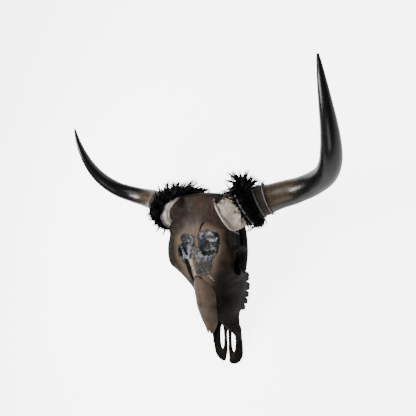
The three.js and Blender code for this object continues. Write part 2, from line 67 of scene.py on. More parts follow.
class Side(Enum):
    """The animal's own left and right, with the sign of their x."""

    LEFT = 1
    RIGHT = -1

    @property
    def word(self) -> str:
        """The side's name as the nodes spell it."""
        return self.name.lower()

    @property
    def mirror(self) -> Array:
        """What brings a point of the left side to this one."""
        return np.array([self.value, 1, 1])

    @property
    def back(self) -> float:
        """The angle round a horn that faces the back of the head."""
        return -self.value * math.pi / 2


# Curves and skins


def new_object(name: str, data: bpy.types.ID) -> Thing:
    """An object in the scene that holds the data given."""
    made = bpy.data.objects.new(name, data)
    bpy.context.scene.collection.objects.link(made)
    return made


def remove(thing: Thing) -> None:
    """Takes a mesh object and its mesh away."""
    mesh = thing.data
    bpy.data.objects.remove(thing)
    bpy.data.meshes.remove(mesh)


def evaluated_mesh(thing: Thing) -> bpy.types.Mesh:
    """A plain mesh of what an object's modifiers make."""
    graph = bpy.context.evaluated_depsgraph_get()
    return bpy.data.meshes.new_from_object(thing.evaluated_get(graph))


def full_turn(count: int) -> Array:
    """Angles evenly spaced round a circle."""
    return np.arange(count) / count * math.tau


def turned_from(angle: Array, middle: float) -> Array:
    """How far angles lie from a middle one, at most half a turn either way."""
    return (angle - middle + math.pi) % math.tau - math.pi


def unit(vectors: Array) -> Array:
    """Vectors scaled to length one.

    Args:
        vectors: one vector or an array of them.

    Returns:
        The same directions with unit length.
    """
    length = np.linalg.norm(vectors, axis=-1, keepdims=True)
    return vectors / np.maximum(length, 1e-12)


def smoothstep(low: float, high: float, value: Array) -> Array:
    """A soft step from 0 at low to 1 at high."""
    t = np.clip((np.asarray(value, float) - low) / (high - low), 0.0, 1.0)
    return t * t * (3 - 2 * t)


def spline(points: Array, t: Array, closed: bool = False) -> Array:
    """Points on a centripetal Catmull-Rom curve.

    Args:
        points: the curve's corner points.
        t: places along it, from 0 to 1.
        closed: whether the last point joins the first.

    Returns:
        One point for each place.
    """
    points = np.asarray(points, float)
    count = len(points)
    along = np.asarray(t, float) * (count if closed else count - 1)
    k = np.floor(along).astype(int)
    if not closed:
        k = np.clip(k, 0, count - 2)
    w = (along - k)[:, None]
    if closed:
        p0, p1, p2, p3 = (points[(k + d) % count] for d in (-1, 0, 1, 2))
    else:
        p1, p2 = points[k], points[k + 1]
        p0 = np.where((k > 0)[:, None], points[np.maximum(k - 1, 0)], 2 * points[0] - points[1])
        past_end = 2 * points[-1] - points[-2]
        p3 = np.where((k < count - 2)[:, None], points[np.minimum(k + 2, count - 1)], past_end)
    pairs = ((p0, p1), (p1, p2), (p2, p3))
    d0, d1, d2 = (np.sqrt(np.linalg.norm(b - a, axis=1, keepdims=True)) for a, b in pairs)
    d1 = np.where(d1 < 1e-4, 1.0, d1)
    d0 = np.where(d0 < 1e-4, d1, d0)
    d2 = np.where(d2 < 1e-4, d1, d2)
    t1 = ((p1 - p0) / d0 - (p2 - p0) / (d0 + d1) + (p2 - p1) / d1) * d1
    t2 = ((p2 - p1) / d1 - (p3 - p1) / (d1 + d2) + (p3 - p2) / d2) * d1
    c2 = -3 * p1 + 3 * p2 - 2 * t1 - t2
    c3 = 2 * p1 - 2 * p2 + t1 + t2
    return p1 + t1 * w + c2 * w**2 + c3 * w**3


def blend_rows(table: list[list[float]], per_step: float) -> Array:
    """Smooth numbers between the rows of a table.

    Args:
        table: rows of numbers.
        per_step: rows wanted for each step between two rows.

    Returns:
        The denser table.
    """
    rows = np.asarray(table, float)
    steps = round((len(rows) - 1) * per_step)
    at = np.arange(steps + 1) / steps * (len(rows) - 1)
    k = np.minimum(np.floor(at).astype(int), len(rows) - 2)
    t = (at - k)[:, None]
    here, after = rows[k], rows[k + 1]
    slope0 = (after - rows[np.maximum(k - 1, 0)]) / 2
    slope1 = (rows[np.minimum(k + 2, len(rows) - 1)] - here) / 2
    return (
        (2 * t**3 - 3 * t**2 + 1) * here + (t**3 - 2 * t**2 + t) * slope0
        + (3 * t**2 - 2 * t**3) * after + (t**3 - t**2) * slope1
    )


def across(axis: Array) -> tuple[Array, Array]:
    """Two directions across an axis, the first as near to straight up as it can be."""
    up = np.array([0.0, 1.0, 0.0]) if abs(axis[2]) > 0.9 else np.array([0.0, 0.0, 1.0])
    first = unit(up - axis * up.dot(axis))
    return first, np.cross(axis, first)


def ring(centre: Array, axis: Array, radius: float | Array, sides: int, squash: float = 1.0) -> Array:
    """A ring of points round a centre.

    Args:
        centre: the ring's middle.
        axis: the way the ring faces.
        radius: one radius, or one for each point.
        sides: how many points.
        squash: how narrow the ring is beside its height.

    Returns:
        The points, in order.
    """
    first, second = across(unit(np.asarray(axis, float)))
    turn = full_turn(sides)
    size = np.broadcast_to(radius, (sides,))[:, None]
    return centre + np.cos(turn)[:, None] * size * first + np.sin(turn)[:, None] * size * squash * second


@dataclass
class Skin:
    """A surface as points in millimetres and faces, with any number for each point.

    Args:
        points: an array of n by 3.
        faces: lists of point numbers.
        marks: named numbers, one for each point.
        vectors: named directions, one for each point.
    """

    points: Array
    faces: list[list[int]]
    marks: dict[str, Array] = field(default_factory=dict)
    vectors: dict[str, Array] = field(default_factory=dict)

    def turned_out(self) -> "Skin":
        """The same skin with its faces pointing out."""
        volume = 0.0
        for face in self.faces:
            a = self.points[face[0]]
            for i in range(1, len(face) - 1):
                volume += a.dot(np.cross(self.points[face[i]], self.points[face[i + 1]]))
        if volume < 0:
            self.faces = [face[::-1] for face in self.faces]
        return self

    def joined(self, other: "Skin") -> "Skin":
        """This skin and another as one, still two bodies."""
        shift = len(self.points)
        marks = {name: np.concatenate([values, other.marks[name]]) for name, values in self.marks.items()}
        vectors = {name: np.vstack([values, other.vectors[name]]) for name, values in self.vectors.items()}
        faces = self.faces + [[i + shift for i in face] for face in other.faces]
        return Skin(np.vstack([self.points, other.points]), faces, marks, vectors)

    def to_object(self, name: str) -> Thing:
        """Makes a smooth mesh object of the skin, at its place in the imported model's frame."""
        mesh = bpy.data.meshes.new(name)
        mesh.from_pydata(((self.points - FRAME_SHIFT) * MM).tolist(), [], self.faces)
        mesh.update()
        for label, values in self.marks.items():
            store(mesh, label, "FLOAT", "value", values)
        for label, values in self.vectors.items():
            store(mesh, label, "FLOAT_VECTOR", "vector", values)
        smooth(mesh)
        return new_object(name, mesh)


def store(mesh: bpy.types.Mesh, label: str, kind: str, key: str, values: Array) -> None:
    """Stores a number or a direction for each point of a mesh.

    Args:
        mesh: the mesh.
        label: the attribute's name.
        kind: its data type.
        key: what one of its values is called.
        values: one value for each point.
    """
    layer = mesh.attributes.new(label, kind, "POINT")
    layer.data.foreach_set(key, np.asarray(values, np.float32).ravel())


def smooth(mesh: bpy.types.Mesh) -> None:
    """Shades every face of a mesh smooth."""
    mesh.polygons.foreach_set("use_smooth", np.ones(len(mesh.polygons), bool))


def grid_faces(rows: int, around: int) -> list[list[int]]:
    """Faces that join rows of closed rings."""
    r, i = np.meshgrid(np.arange(rows - 1), np.arange(around), indexing="ij")
    j = (i + 1) % around
    quads = np.stack([r * around + i, r * around + j, (r + 1) * around + j, (r + 1) * around + i], -1)
    return quads.reshape(-1, 4).tolist()


def loft(rings: Array) -> Skin:
    """Joins a row of closed rings into one skin and closes both ends.

    Args:
        rings: an array of rows by points by 3.

    Returns:
        A closed skin that faces out.
    """
    rings = np.asarray(rings, float)
    rows, around = rings.shape[:2]
    points = np.vstack([rings.reshape(-1, 3), rings[0].mean(0), rings[-1].mean(0)])
    faces = grid_faces(rows, around)
    first, last = rows * around, (rows - 1) * around
    for i in range(around):
        j = (i + 1) % around
        faces.append([first, j, i])
        faces.append([first + 1, last + i, last + j])
    return Skin(points, faces).turned_out()


def hoop(rings: Array, offset: int = 0) -> Skin:
    """Joins a row of closed rings into one skin, and its last ring to its first.

    Args:
        rings: an array of rows by points by 3.
        offset: how many points the first ring is turned by from the last.

    Returns:
        A closed skin that faces out.
    """
    rows, around = np.shape(rings)[:2]
    faces = grid_faces(rows, around)
    last = (rows - 1) * around
    for i in range(around):
        j = (i + 1) % around
        faces.append([last + i, last + j, (j + offset) % around, (i + offset) % around])
    return Skin(np.vstack(rings), faces).turned_out()


def bar(path: list, radius: list[float], side: Side, steps: int = 24, squash: float = 1.0) -> Skin:
    """A rounded bar through a path's points.

    Args:
        path: the points of its middle line on the left side.
        radius: one radius for each of them.
        side: the side wanted.
        steps: rings along it.
        squash: how narrow it is beside its height.

    Returns:
        A closed skin.
    """
    t = np.linspace(0, 1, steps + 1)
    centres = spline(np.asarray(path, float) * side.mirror, t)
    ways = unit(np.gradient(centres, axis=0))
    sizes = np.interp(t * (len(radius) - 1), np.arange(len(radius)), radius)
    return loft(np.array([ring(c, w, s, 20, squash) for c, w, s in zip(centres, ways, sizes)]))


def egg(centre: tuple, size: tuple, side: Side) -> Skin:
    """An egg shape with its own size each way, on the side wanted."""
    theta = np.linspace(0, math.pi, 21)[1:-1]
    turn = full_turn(32)
    rings = np.stack([
        np.outer(np.sin(theta), np.cos(turn)) * size[0],
        np.outer(np.sin(theta), np.sin(turn)) * size[1],
        np.outer(np.cos(theta), np.ones(32)) * size[2],
    ], -1)
    return loft(rings + np.asarray(centre, float) * side.mirror)


def closed_tube(path: Array, radius: float, sides: int) -> Skin:
    """A tube along a dense closed path."""
    ways = unit(np.roll(path, -1, 0) - np.roll(path, 1, 0))
    first = across(ways[0])[0]
    turn = full_turn(sides)
    rings = []
    for centre, way in zip(path, ways):
        first = unit(first - way * first.dot(way))
        second = np.cross(way, first)
        rings.append(centre + (np.cos(turn)[:, None] * first + np.sin(turn)[:, None] * second) * radius)
    offset = int(np.argmin(np.linalg.norm(rings[0] - rings[-1][0], axis=1)))
    return hoop(np.array(rings), offset)


def slab(outline: Array, near: float, far: float) -> Skin:
    """A block that runs sideways between two places, with an outline of y and z pairs.

    Args:
        outline: the block's side view.
        near: the x it starts at.
        far: the x it ends at.

    Returns:
        A closed skin.
    """
    count = len(outline)
    points = np.array([(x, y, z) for x in (near, far) for y, z in outline], float)
    faces = [[i, (i + 1) % count, (i + 1) % count + count, i + count] for i in range(count)]
    faces += [list(range(count))[::-1], [i + count for i in range(count)]]
    return Skin(points, faces).turned_out()


def grown(outline: Array, distance: float) -> Array:
    """An outline moved outwards by a distance."""
    here = np.asarray(outline, float)
    d0 = unit(here - np.roll(here, 1, 0))
    d1 = unit(np.roll(here, -1, 0) - here)
    after = np.roll(here, -1, 0)
    area = (here[:, 0] * after[:, 1] - after[:, 0] * here[:, 1]).sum()
    out = 1 if area > 0 else -1
    n0 = np.stack([d0[:, 1], -d0[:, 0]], -1) * out
    n1 = np.stack([d1[:, 1], -d1[:, 0]], -1) * out
    middle = unit(n0 + n1)
    return here + middle * distance / np.maximum((middle * n0).sum(1, keepdims=True), 0.4)


class Noise:
    """Smooth seeded noise in space, and cracks between random cells."""

    def __init__(self, seed: int) -> None:
        self.table = np.random.default_rng(seed).random(4096)

    def _corner(self, cell: Array) -> Array:
        """A fixed random number for each whole-number cell."""
        key = cell[:, 0] * 73856093 ^ cell[:, 1] * 19349663 ^ cell[:, 2] * 83492791
        return self.table[key % len(self.table)]

    def value(self, points: Array, scale: float) -> Array:
        """Noise from -1 to 1 with bumps about scale millimetres across."""
        p = points / scale
        cell = np.floor(p).astype(np.int64)
        f = p - cell
        f = f * f * (3 - 2 * f)
        total = np.zeros(len(p))
        for corner in product((0, 1), repeat=3):
            wx, wy, wz = np.where(corner, f, 1 - f).T
            total += wx * wy * wz * self._corner(cell + corner)
        return total * 2 - 1

    def layered(self, points: Array, scale: float, octaves: int = 3) -> Array:
        """Noise of several sizes added up."""
        total = np.zeros(len(points))
        for k in range(octaves):
            total += self.value(points + 17.3 * k, scale / 2**k) / 2**k
        return total / 1.6

    def cracks(self, points: Array, scale: float) -> Array:
        """How far each point is from the border between two random cells, in parts of scale."""
        p = points / scale
        base = np.floor(p).astype(np.int64)
        near = np.full(len(p), 9.0)
        second = np.full(len(p), 9.0)
        for beside in product((-1, 0, 1), repeat=3):
            cell = base + beside
            jitter = np.stack([self._corner(cell + k) for k in (0, 31, 57)], -1)
            d = np.linalg.norm(cell + jitter - p, axis=1)
            second = np.minimum(second, np.maximum(near, d))
            near = np.minimum(near, d)
        return second - near


# Joining solids


class Solid:
    """A mesh object that other skins are joined to and cut from."""

    def __init__(self, thing: Thing) -> None:
        self.thing = thing

    def copy(self, name: str) -> "Solid":
        """The same solid once more, under another name."""
        return Solid(new_object(name, self.thing.data.copy()))

    def _settle(self) -> "Solid":
        """Makes what the modifiers give the solid's own mesh."""
        old, self.thing.data = self.thing.data, evaluated_mesh(self.thing)
        self.thing.modifiers.clear()
        bpy.data.meshes.remove(old)
        return self

    def _apply(self, skin: Skin, operation: str) -> "Solid":
        """Runs one boolean and keeps its result as the mesh."""
        tool = skin.to_object("tool")
        step = self.thing.modifiers.new("step", "BOOLEAN")
        step.operation = operation
        step.solver = "MANIFOLD"
        step.object = tool
        self._settle()
        remove(tool)
        return self

    def add(self, skin: Skin) -> "Solid":
        """Joins a skin to the solid."""
        return self._apply(skin, "UNION")

    def cut(self, skin: Skin) -> "Solid":
        """Takes a skin's room out of the solid."""
        return self._apply(skin, "DIFFERENCE")

    def keep(self, skin: Skin) -> "Solid":
        """Keeps only what lies inside a skin."""
        return self._apply(skin, "INTERSECT")

    def _read(self, items: str, key: str, width: int, kind: type = float) -> Array:
        """A row of numbers for each point or edge of the mesh."""
        found = getattr(self.thing.data, items)
        flat = np.zeros(len(found) * width, kind)
        found.foreach_get(key, flat)
        return flat.reshape(-1, width)

    def _edges(self) -> Array:
        """The first and the second point number of every edge."""
        return self._read("edges", "vertices", 2, int).T

    def largest(self) -> "Solid":
        """Keeps only the biggest of the solid's loose bodies."""
        mesh = self.thing.data
        a, b = self._edges()
        label = np.arange(len(mesh.vertices))
        while True:
            low = np.minimum(label[a], label[b])
            found = label.copy()
            np.minimum.at(found, a, low)
            np.minimum.at(found, b, low)
            found = found[found]
            if np.array_equal(found, label):
                break
            label = found
        biggest = np.bincount(label).argmax()
        shape = bmesh.new()
        shape.from_mesh(mesh)
        shape.verts.ensure_lookup_table()
        loose = [shape.verts[i] for i in np.flatnonzero(label != biggest)]
        bmesh.ops.delete(shape, geom=loose, context="VERTS")
        shape.to_mesh(mesh)
        shape.free()
        return self

    def even(self, voxel: float) -> "Solid":
        """Rebuilds the surface from quads of a size in millimetres."""
        step = self.thing.modifiers.new("even", "REMESH")
        step.mode = "VOXEL"
        step.voxel_size = voxel * MM
        return self._settle()

    def points(self) -> Array:
        """The mesh's points in the rest frame, in millimetres."""
        return self._read("vertices", "co", 3) / MM + FRAME_SHIFT

    def normals(self) -> Array:
        """The mesh's normals."""
        return self._read("vertex_normals", "vector", 3)

    def place(self, points: Array) -> None:
        """Moves the mesh's points."""
        flat = ((points - FRAME_SHIFT) * MM).ravel()
        self.thing.data.vertices.foreach_set("co", flat)
        self.thing.data.update()

    def soften(self, times: int, weight: Array | float = 0.5) -> None:
        """Moves each point towards the middle of its neighbours.

        Args:
            times: how often.
            weight: how far each time, one number or one for each point.
        """
        a, b = self._edges()
        here, there = np.concatenate([a, b]), np.concatenate([b, a])
        points = self.points()
        share = np.bincount(here, minlength=len(points))[:, None]
        strength = np.broadcast_to(weight, (len(points),))[:, None]
        for _ in range(times):
            total = np.stack([np.bincount(here, points[there, k], len(points)) for k in range(3)], -1)
            points = points + strength * (total / np.maximum(share, 1) - points)
        self.place(points)

    def mark(self, name: str, values: Array) -> None:
        """Stores a number for each point under a name."""
        store(self.thing.data, name, "FLOAT", "value", values)


def near_line(points: Array, line: list[tuple[float, float]]) -> Array:
    """Distance of each point to a bent line, both seen from above."""
    flat = points[:, :2]
    best = np.full(len(flat), 1e9)
    corners = np.asarray(line, float)
    for a, b in zip(corners[:-1], corners[1:]):
        t = np.clip(((flat - a) @ (b - a)) / max((b - a) @ (b - a), 1e-9), 0, 1)
        best = np.minimum(best, np.linalg.norm(flat - (a + t[:, None] * (b - a)), axis=1))
    return best


def inside_blob(points: Array, corners: list[tuple[float, float]], soft: float) -> Array:
    """1 inside an outline seen from above and 0 outside, with a soft edge."""
    flat = points[:, :2]
    outline = np.asarray(corners, float)
    after = np.roll(outline, -1, 0)
    inside = np.zeros(len(flat), bool)
    for (x0, y0), (x1, y1) in zip(outline, after):
        crosses = (y0 > flat[:, 1]) != (y1 > flat[:, 1])
        inside ^= crosses & (flat[:, 0] < (x1 - x0) * (flat[:, 1] - y0) / (y1 - y0 + 1e-12) + x0)
    edge = near_line(points, [*corners, corners[0]])
    signed = np.where(inside, edge, -edge)
    return smoothstep(-soft, soft, signed)


# Shader graphs


class Graph:
    """A short way to write a node tree.

    Args:
        tree: the shader or geometry tree to fill.
    """

    def __init__(self, tree: Tree) -> None:
        self.tree = tree
        self.column = 0

    def node(self, kind: str, inputs: dict | None = None, **settings: object) -> bpy.types.Node:
        """Adds a node.

        Args:
            kind: its type name.
            inputs: values or sockets for its inputs, by name or number.
            settings: its own settings.

        Returns:
            The node.
        """
        made = self.tree.nodes.new(kind)
        self.column += 1
        made.location = (self.column % 12 * 190, -(self.column // 12) * 260)
        for name, value in settings.items():
            setattr(made, name, value)
        for key, value in (inputs or {}).items():
            if isinstance(value, Socket):
                self.tree.links.new(value, made.inputs[key])
            elif value is not None:
                made.inputs[key].default_value = value
        return made

    def math(self, operation: str, a: object, b: object = 0.0, clamp: bool = False) -> Socket:
        """A sum of two numbers or sockets."""
        return self.node("ShaderNodeMath", {0: a, 1: b}, operation=operation, use_clamp=clamp).outputs[0]

    def times(self, a: object, b: object) -> Socket:
        """Two numbers or sockets multiplied."""
        return self.math("MULTIPLY", a, b)

    def plus(self, a: object, b: object) -> Socket:
        """Two numbers or sockets added."""
        return self.math("ADD", a, b)

    def centred(self, cloud: Socket, height: float) -> Socket:
        """Noise made to go to both sides of nothing, and scaled."""
        return self.times(self.math("SUBTRACT", cloud, 0.5), height)

    def object_place(self) -> Socket:
        """The place on the piece."""
        return self.node("ShaderNodeTexCoord").outputs["Object"]

    def lie(self) -> Socket:
        """The place along and round the piece."""
        marks = {"X": self.mark("along"), "Y": self.mark("around"), "Z": 0.0}
        return self.node("ShaderNodeCombineXYZ", marks).outputs[0]

    def noise(self, where: Socket, scale: object, detail: float = 4.0, rough: float = 0.55,
              warp: float = 0.0) -> Socket:
        """Cloudy noise from 0 to 1."""
        return self.node("ShaderNodeTexNoise", {
            "Vector": where, "Scale": scale, "Detail": detail, "Roughness": rough, "Distortion": warp,
        }).outputs["Fac"]

    def step(self, value: object, low: float, high: float, to_low: float = 0.0,
             to_high: float = 1.0) -> Socket:
        """A soft step between two values."""
        return self.node("ShaderNodeMapRange", {
            "Value": value, "From Min": low, "From Max": high, "To Min": to_low, "To Max": to_high,
        }, interpolation_type="SMOOTHSTEP").outputs["Result"]

    def mix(self, factor: object, a: object, b: object) -> Socket:
        """A mix of two colours."""
        made = self.node("ShaderNodeMix", {0: factor}, data_type="RGBA")
        for number, value in ((6, a), (7, b)):
            if isinstance(value, Socket):
                self.tree.links.new(value, made.inputs[number])
            else:
                made.inputs[number].default_value = (*value, 1.0)
        return made.outputs[2]

    def mark(self, name: str) -> Socket:
        """A number that the mesh holds for each point."""
        return self.node("ShaderNodeAttribute", attribute_name=name).outputs["Fac"]

    def stretch(self, where: object, scale: tuple) -> Socket:
        """A vector stretched along its axes."""
        return self.node("ShaderNodeMapping", {"Vector": where, "Scale": scale}).outputs["Vector"]

    def vector(self, operation: str, a: object, b: object = None, scale: object = None) -> Socket:
        """A sum of two vectors, or one scaled by a number."""
        inputs = {0: a, 1: b, "Scale": scale}
        return self.node("ShaderNodeVectorMath", inputs, operation=operation).outputs["Vector"]

    def named(self, name: str, kind: str) -> Socket:
        """A named attribute of the geometry."""
        made = self.node("GeometryNodeInputNamedAttribute", {"Name": name}, data_type=kind)
        return made.outputs["Attribute"]

    def chance(self, low: object, high: object, seed: object) -> Socket:
        """A random number for each point."""
        made = self.node("FunctionNodeRandomValue", {2: low, 3: high, "Seed": seed}, data_type="FLOAT")
        return made.outputs[1]

    def bump(self, height: object, strength: float, depth: float, normal: object = None) -> Socket:
        """A normal bent by a height."""
        return self.node("ShaderNodeBump", {
            "Height": height, "Strength": strength, "Distance": depth, "Normal": normal,
        }).outputs["Normal"]


def geometry_tree(name: str, inputs: dict[str, str]) -> tuple[Graph, bpy.types.NodeOutputs]:
    """A fresh Geometry Nodes tree with named inputs.

    Args:
        name: the tree's name.
        inputs: each input's kind of socket, by the input's name.

    Returns:
        The tree's graph, and the sockets of its inputs.
    """
    tree = bpy.data.node_groups.new(name, "GeometryNodeTree")
    tree.interface.new_socket("Geometry", in_out="OUTPUT", socket_type="NodeSocketGeometry")
    for label, kind in {"Geometry": "Geometry", **inputs}.items():
        tree.interface.new_socket(label, in_out="INPUT", socket_type=f"NodeSocket{kind}")
    graph = Graph(tree)
    return graph, graph.node("NodeGroupInput").outputs


def end_tree(g: Graph, geometry: Socket, material: Socket) -> Tree:
    """Ends a tree with its material, and returns the tree."""
    painted = g.node("GeometryNodeSetMaterial", {"Geometry": geometry, "Material": material})
    g.node("NodeGroupOutput", {"Geometry": painted.outputs["Geometry"]})
    return g.tree


def run_tree(thing: Thing, tree: Tree, values: dict, name: str) -> Thing:
    """Runs a tree on an object and keeps the result as a plain mesh.

    Args:
        thing: the object that the tree starts from, which is removed.
        tree: the Geometry Nodes tree.
        values: the values of its inputs, by name.
        name: the new object's name.

    Returns:
        The new object.
    """
    step = thing.modifiers.new("tree", "NODES")
    step.node_group = tree
    for item in tree.interface.items_tree:
        if item.item_type == "SOCKET" and item.in_out == "INPUT" and item.name in values:
            step[item.identifier] = values[item.name]
    made = new_object(name, evaluated_mesh(thing))
    remove(thing)
    return made


def lock_tree() -> Tree:
    """A tree that grows locks over a surface, each on a small patch of the map at its root."""
    g, given = geometry_tree("grown_locks", {
        "Lock": "Object", "Density": "Float", "Shortest": "Float", "Longest": "Float",
        "Lean": "Float", "Spread": "Float", "Seed": "Int", "Material": "Material",
    })
    spots = g.node("GeometryNodeDistributePointsOnFaces", {
        "Mesh": given["Geometry"], "Seed": given["Seed"],
        "Density": g.times(given["Density"], g.named("grows", "FLOAT")),
    })
    flow = g.named("flow", "FLOAT_VECTOR")
    shaken = g.node("FunctionNodeRandomValue", {
        0: (-1.0, -1.0, -1.0), 1: (1.0, 1.0, 1.0), "Seed": given["Seed"],
    }, data_type="FLOAT_VECTOR").outputs[0]
    stray = g.vector("SCALE", shaken, scale=given["Spread"])
    standing = g.vector("SCALE", spots.outputs["Normal"], scale=g.math("SUBTRACT", 1.0, given["Lean"]))
    lying = g.vector("SCALE", flow, scale=given["Lean"])
    way = g.vector("ADD", g.vector("ADD", standing, lying), stray)
    stood = g.node("FunctionNodeAlignRotationToVector", {"Vector": way}, axis="Z").outputs["Rotation"]
    turned = g.node("FunctionNodeAlignRotationToVector", {
        "Rotation": stood, "Vector": g.vector("ADD", flow, stray),
    }, axis="X", pivot_axis="Z").outputs["Rotation"]
    length = g.chance(given["Shortest"], given["Longest"], given["Seed"])
    lock = g.node("GeometryNodeObjectInfo", {"Object": given["Lock"]})
    planted = g.node("GeometryNodeInstanceOnPoints", {
        "Points": spots.outputs["Points"], "Instance": lock.outputs["Geometry"],
        "Rotation": turned, "Scale": g.times(length, g.named("long", "FLOAT")),
    })
    whole = g.node("GeometryNodeRealizeInstances", {"Geometry": planted.outputs["Instances"]})
    root = g.node("ShaderNodeSeparateXYZ", {0: g.named("round", "FLOAT_VECTOR")}).outputs
    share = g.plus(g.math("DIVIDE", g.math("ARCTAN2", root["Y"], root["X"]), math.tau), 0.5)
    corner = g.node("GeometryNodeInputIndex").outputs[0]
    beside = g.math("MODULO", corner, 3.0)
    above = g.math("MODULO", g.math("FLOOR", g.math("DIVIDE", corner, 3.0)), 3.0)
    span, step = 0.99, OFBAKE_PATCH / 2
    place = g.node("ShaderNodeCombineXYZ", {
        "X": g.plus(g.times(share, span), g.times(beside, step)),
        "Y": g.plus(g.times(root["Z"], span), g.times(above, step)),
        "Z": 0.0,
    })
    mapped = g.node("GeometryNodeStoreNamedAttribute", {
        "Geometry": whole.outputs["Geometry"], "Name": "OFBake", "Value": place.outputs[0],
    }, data_type="FLOAT2", domain="CORNER")
    return end_tree(g, mapped.outputs["Geometry"], given["Material"])


def twine_tree() -> Tree:
    """A tree that lays two twisted strands along a line of edges."""
    g, given = geometry_tree("twisted_twine", {"Strand": "Float", "Twist": "Float", "Material": "Material"})
    path = g.node("GeometryNodeMeshToCurve", {"Mesh": given["Geometry"]})
    along = g.node("GeometryNodeSplineParameter").outputs["Factor"]
    twisted = g.node("GeometryNodeSetCurveTilt", {
        "Curve": path.outputs["Curve"], "Tilt": g.times(along, given["Twist"]),
    })
    circle = g.node("GeometryNodeCurvePrimitiveCircle", {
        "Resolution": 6, "Radius": given["Strand"],
    }, mode="RADIUS")
    pair = g.node("GeometryNodeJoinGeometry")
    for share in (-0.8, 0.8):
        shift = g.node("ShaderNodeCombineXYZ", {"X": g.times(given["Strand"], share), "Y": 0.0, "Z": 0.0})
        moved = g.node("GeometryNodeTransform", {
            "Geometry": circle.outputs["Curve"], "Translation": shift.outputs[0],
        })
        g.tree.links.new(moved.outputs["Geometry"], pair.inputs[0])
    rope = g.node("GeometryNodeCurveToMesh", {
        "Curve": twisted.outputs["Curve"], "Profile Curve": pair.outputs["Geometry"], "Fill Caps": True,
    })
    whole = g.node("GeometryNodeRealizeInstances", {"Geometry": rope.outputs["Mesh"]})
    return end_tree(g, whole.outputs["Geometry"], given["Material"])


def lock_shape(name: str, hairs: int, slim: float, curl: float, seed: int) -> Thing:
    """A lock one unit long that stands on its root and bends towards its own x.

    Args:
        name: the object's name.
        hairs: how many tapered hairs it holds.
        slim: half a hair's width at the root, as a share of its length.
        curl: how far its tip bends over.
        seed: the seed of the hairs' places.

    Returns:
        The object, which is removed once the locks are grown.
    """
    rng = np.random.default_rng(seed)
    rings, parts = 5, []
    for hair in range(hairs):
        angle = math.tau * hair / hairs
        foot = np.array([math.cos(angle), math.sin(angle), 0.0]) * slim * (1.6 if hairs > 1 else 0.0)
        stray = rng.uniform(-0.09, 0.09, 3) * (hairs > 1)
        reach = rng.uniform(0.75, 1.0) if hairs > 1 else 1.0
        turn = full_turn(3) + angle
        rows = []
        for share in np.linspace(0, 1, rings + 1)[:-1]:
            middle = foot * (1 - 0.8 * share) + stray * share**2
            middle = middle + [curl * share**2, 0.0, share * reach]
            size = slim * (1 - share) ** 0.6
            rows.append(middle + np.stack([np.cos(turn) * size, np.sin(turn) * size, np.zeros(3)], -1))
        tip = foot * 0.2 + stray + [curl, 0.0, reach]
        last = (rings - 1) * 3
        faces = grid_faces(rings, 3)
        faces += [[last + j, last + (j + 1) % 3, rings * 3] for j in range(3)]
        faces.append([2, 1, 0])
        parts.append(Skin(np.vstack([*rows, tip]), faces).turned_out())
    lock = reduce(Skin.joined, parts)
    lock.points = lock.points / MM + FRAME_SHIFT
    return lock.to_object(name)


def wire(name: str, path: Array, closed: bool) -> Thing:
    """A line of edges through points, for a tree to start from."""
    count = len(path)
    edges = [(i, (i + 1) % count) for i in range(count if closed else count - 1)]
    mesh = bpy.data.meshes.new(name)
    mesh.from_pydata(((path - FRAME_SHIFT) * MM).tolist(), edges, [])
    return new_object(name, mesh)


def wear_group() -> Tree:
    """A shared group that gives cloudy blotches, fine grain and small pits for a worn surface."""
    tree = bpy.data.node_groups.new(WEAR_GROUP, "ShaderNodeTree")
    tree.interface.new_socket("Vector", in_out="INPUT", socket_type="NodeSocketVector")
    tree.interface.new_socket("Size", in_out="INPUT", socket_type="NodeSocketFloat")
    for name in ("Blotches", "Grain", "Pits"):
        tree.interface.new_socket(name, in_out="OUTPUT", socket_type="NodeSocketFloat")
    g = Graph(tree)
    start = g.node("NodeGroupInput").outputs
    where, size = start["Vector"], start["Size"]
    cells = g.node("ShaderNodeTexVoronoi", {"Vector": where, "Scale": g.times(size, 5.0), "Randomness": 1.0})
    g.node("NodeGroupOutput", {
        "Blotches": g.noise(where, size, 6.0, 0.5, 0.6),
        "Grain": g.noise(where, g.times(size, 9.0), 5.0, 0.65),
        "Pits": g.step(cells.outputs["Distance"], 0.04, 0.22),
    })
    return tree


def worn(g: Graph, where: Socket, size: float) -> bpy.types.NodeOutputs:
    """The blotches, grain and pits of the shared group.

    Args:
        g: the graph of the material.
        where: the place on the piece.
        size: how fine they are.

    Returns:
        The sockets, by name.
    """
    tree = bpy.data.node_groups.get(WEAR_GROUP) or wear_group()
    return g.node("ShaderNodeGroup", {"Vector": where, "Size": size}, node_tree=tree).outputs


# Finishes


Colour = tuple[float, float, float]


class Finish:
    """A finish, whose paint method gives what the shader's sockets take."""

    def make(self, name: str) -> bpy.types.Material:
        """Builds the material and returns it."""
        material = bpy.data.materials.new(name)
        material.use_nodes = True
        shader = material.node_tree.nodes["Principled BSDF"]
        for socket, value in self.paint(Graph(material.node_tree)).items():
            if isinstance(value, Socket):
                material.node_tree.links.new(value, shader.inputs[socket])
            else:
                shader.inputs[socket].default_value = value
        return material


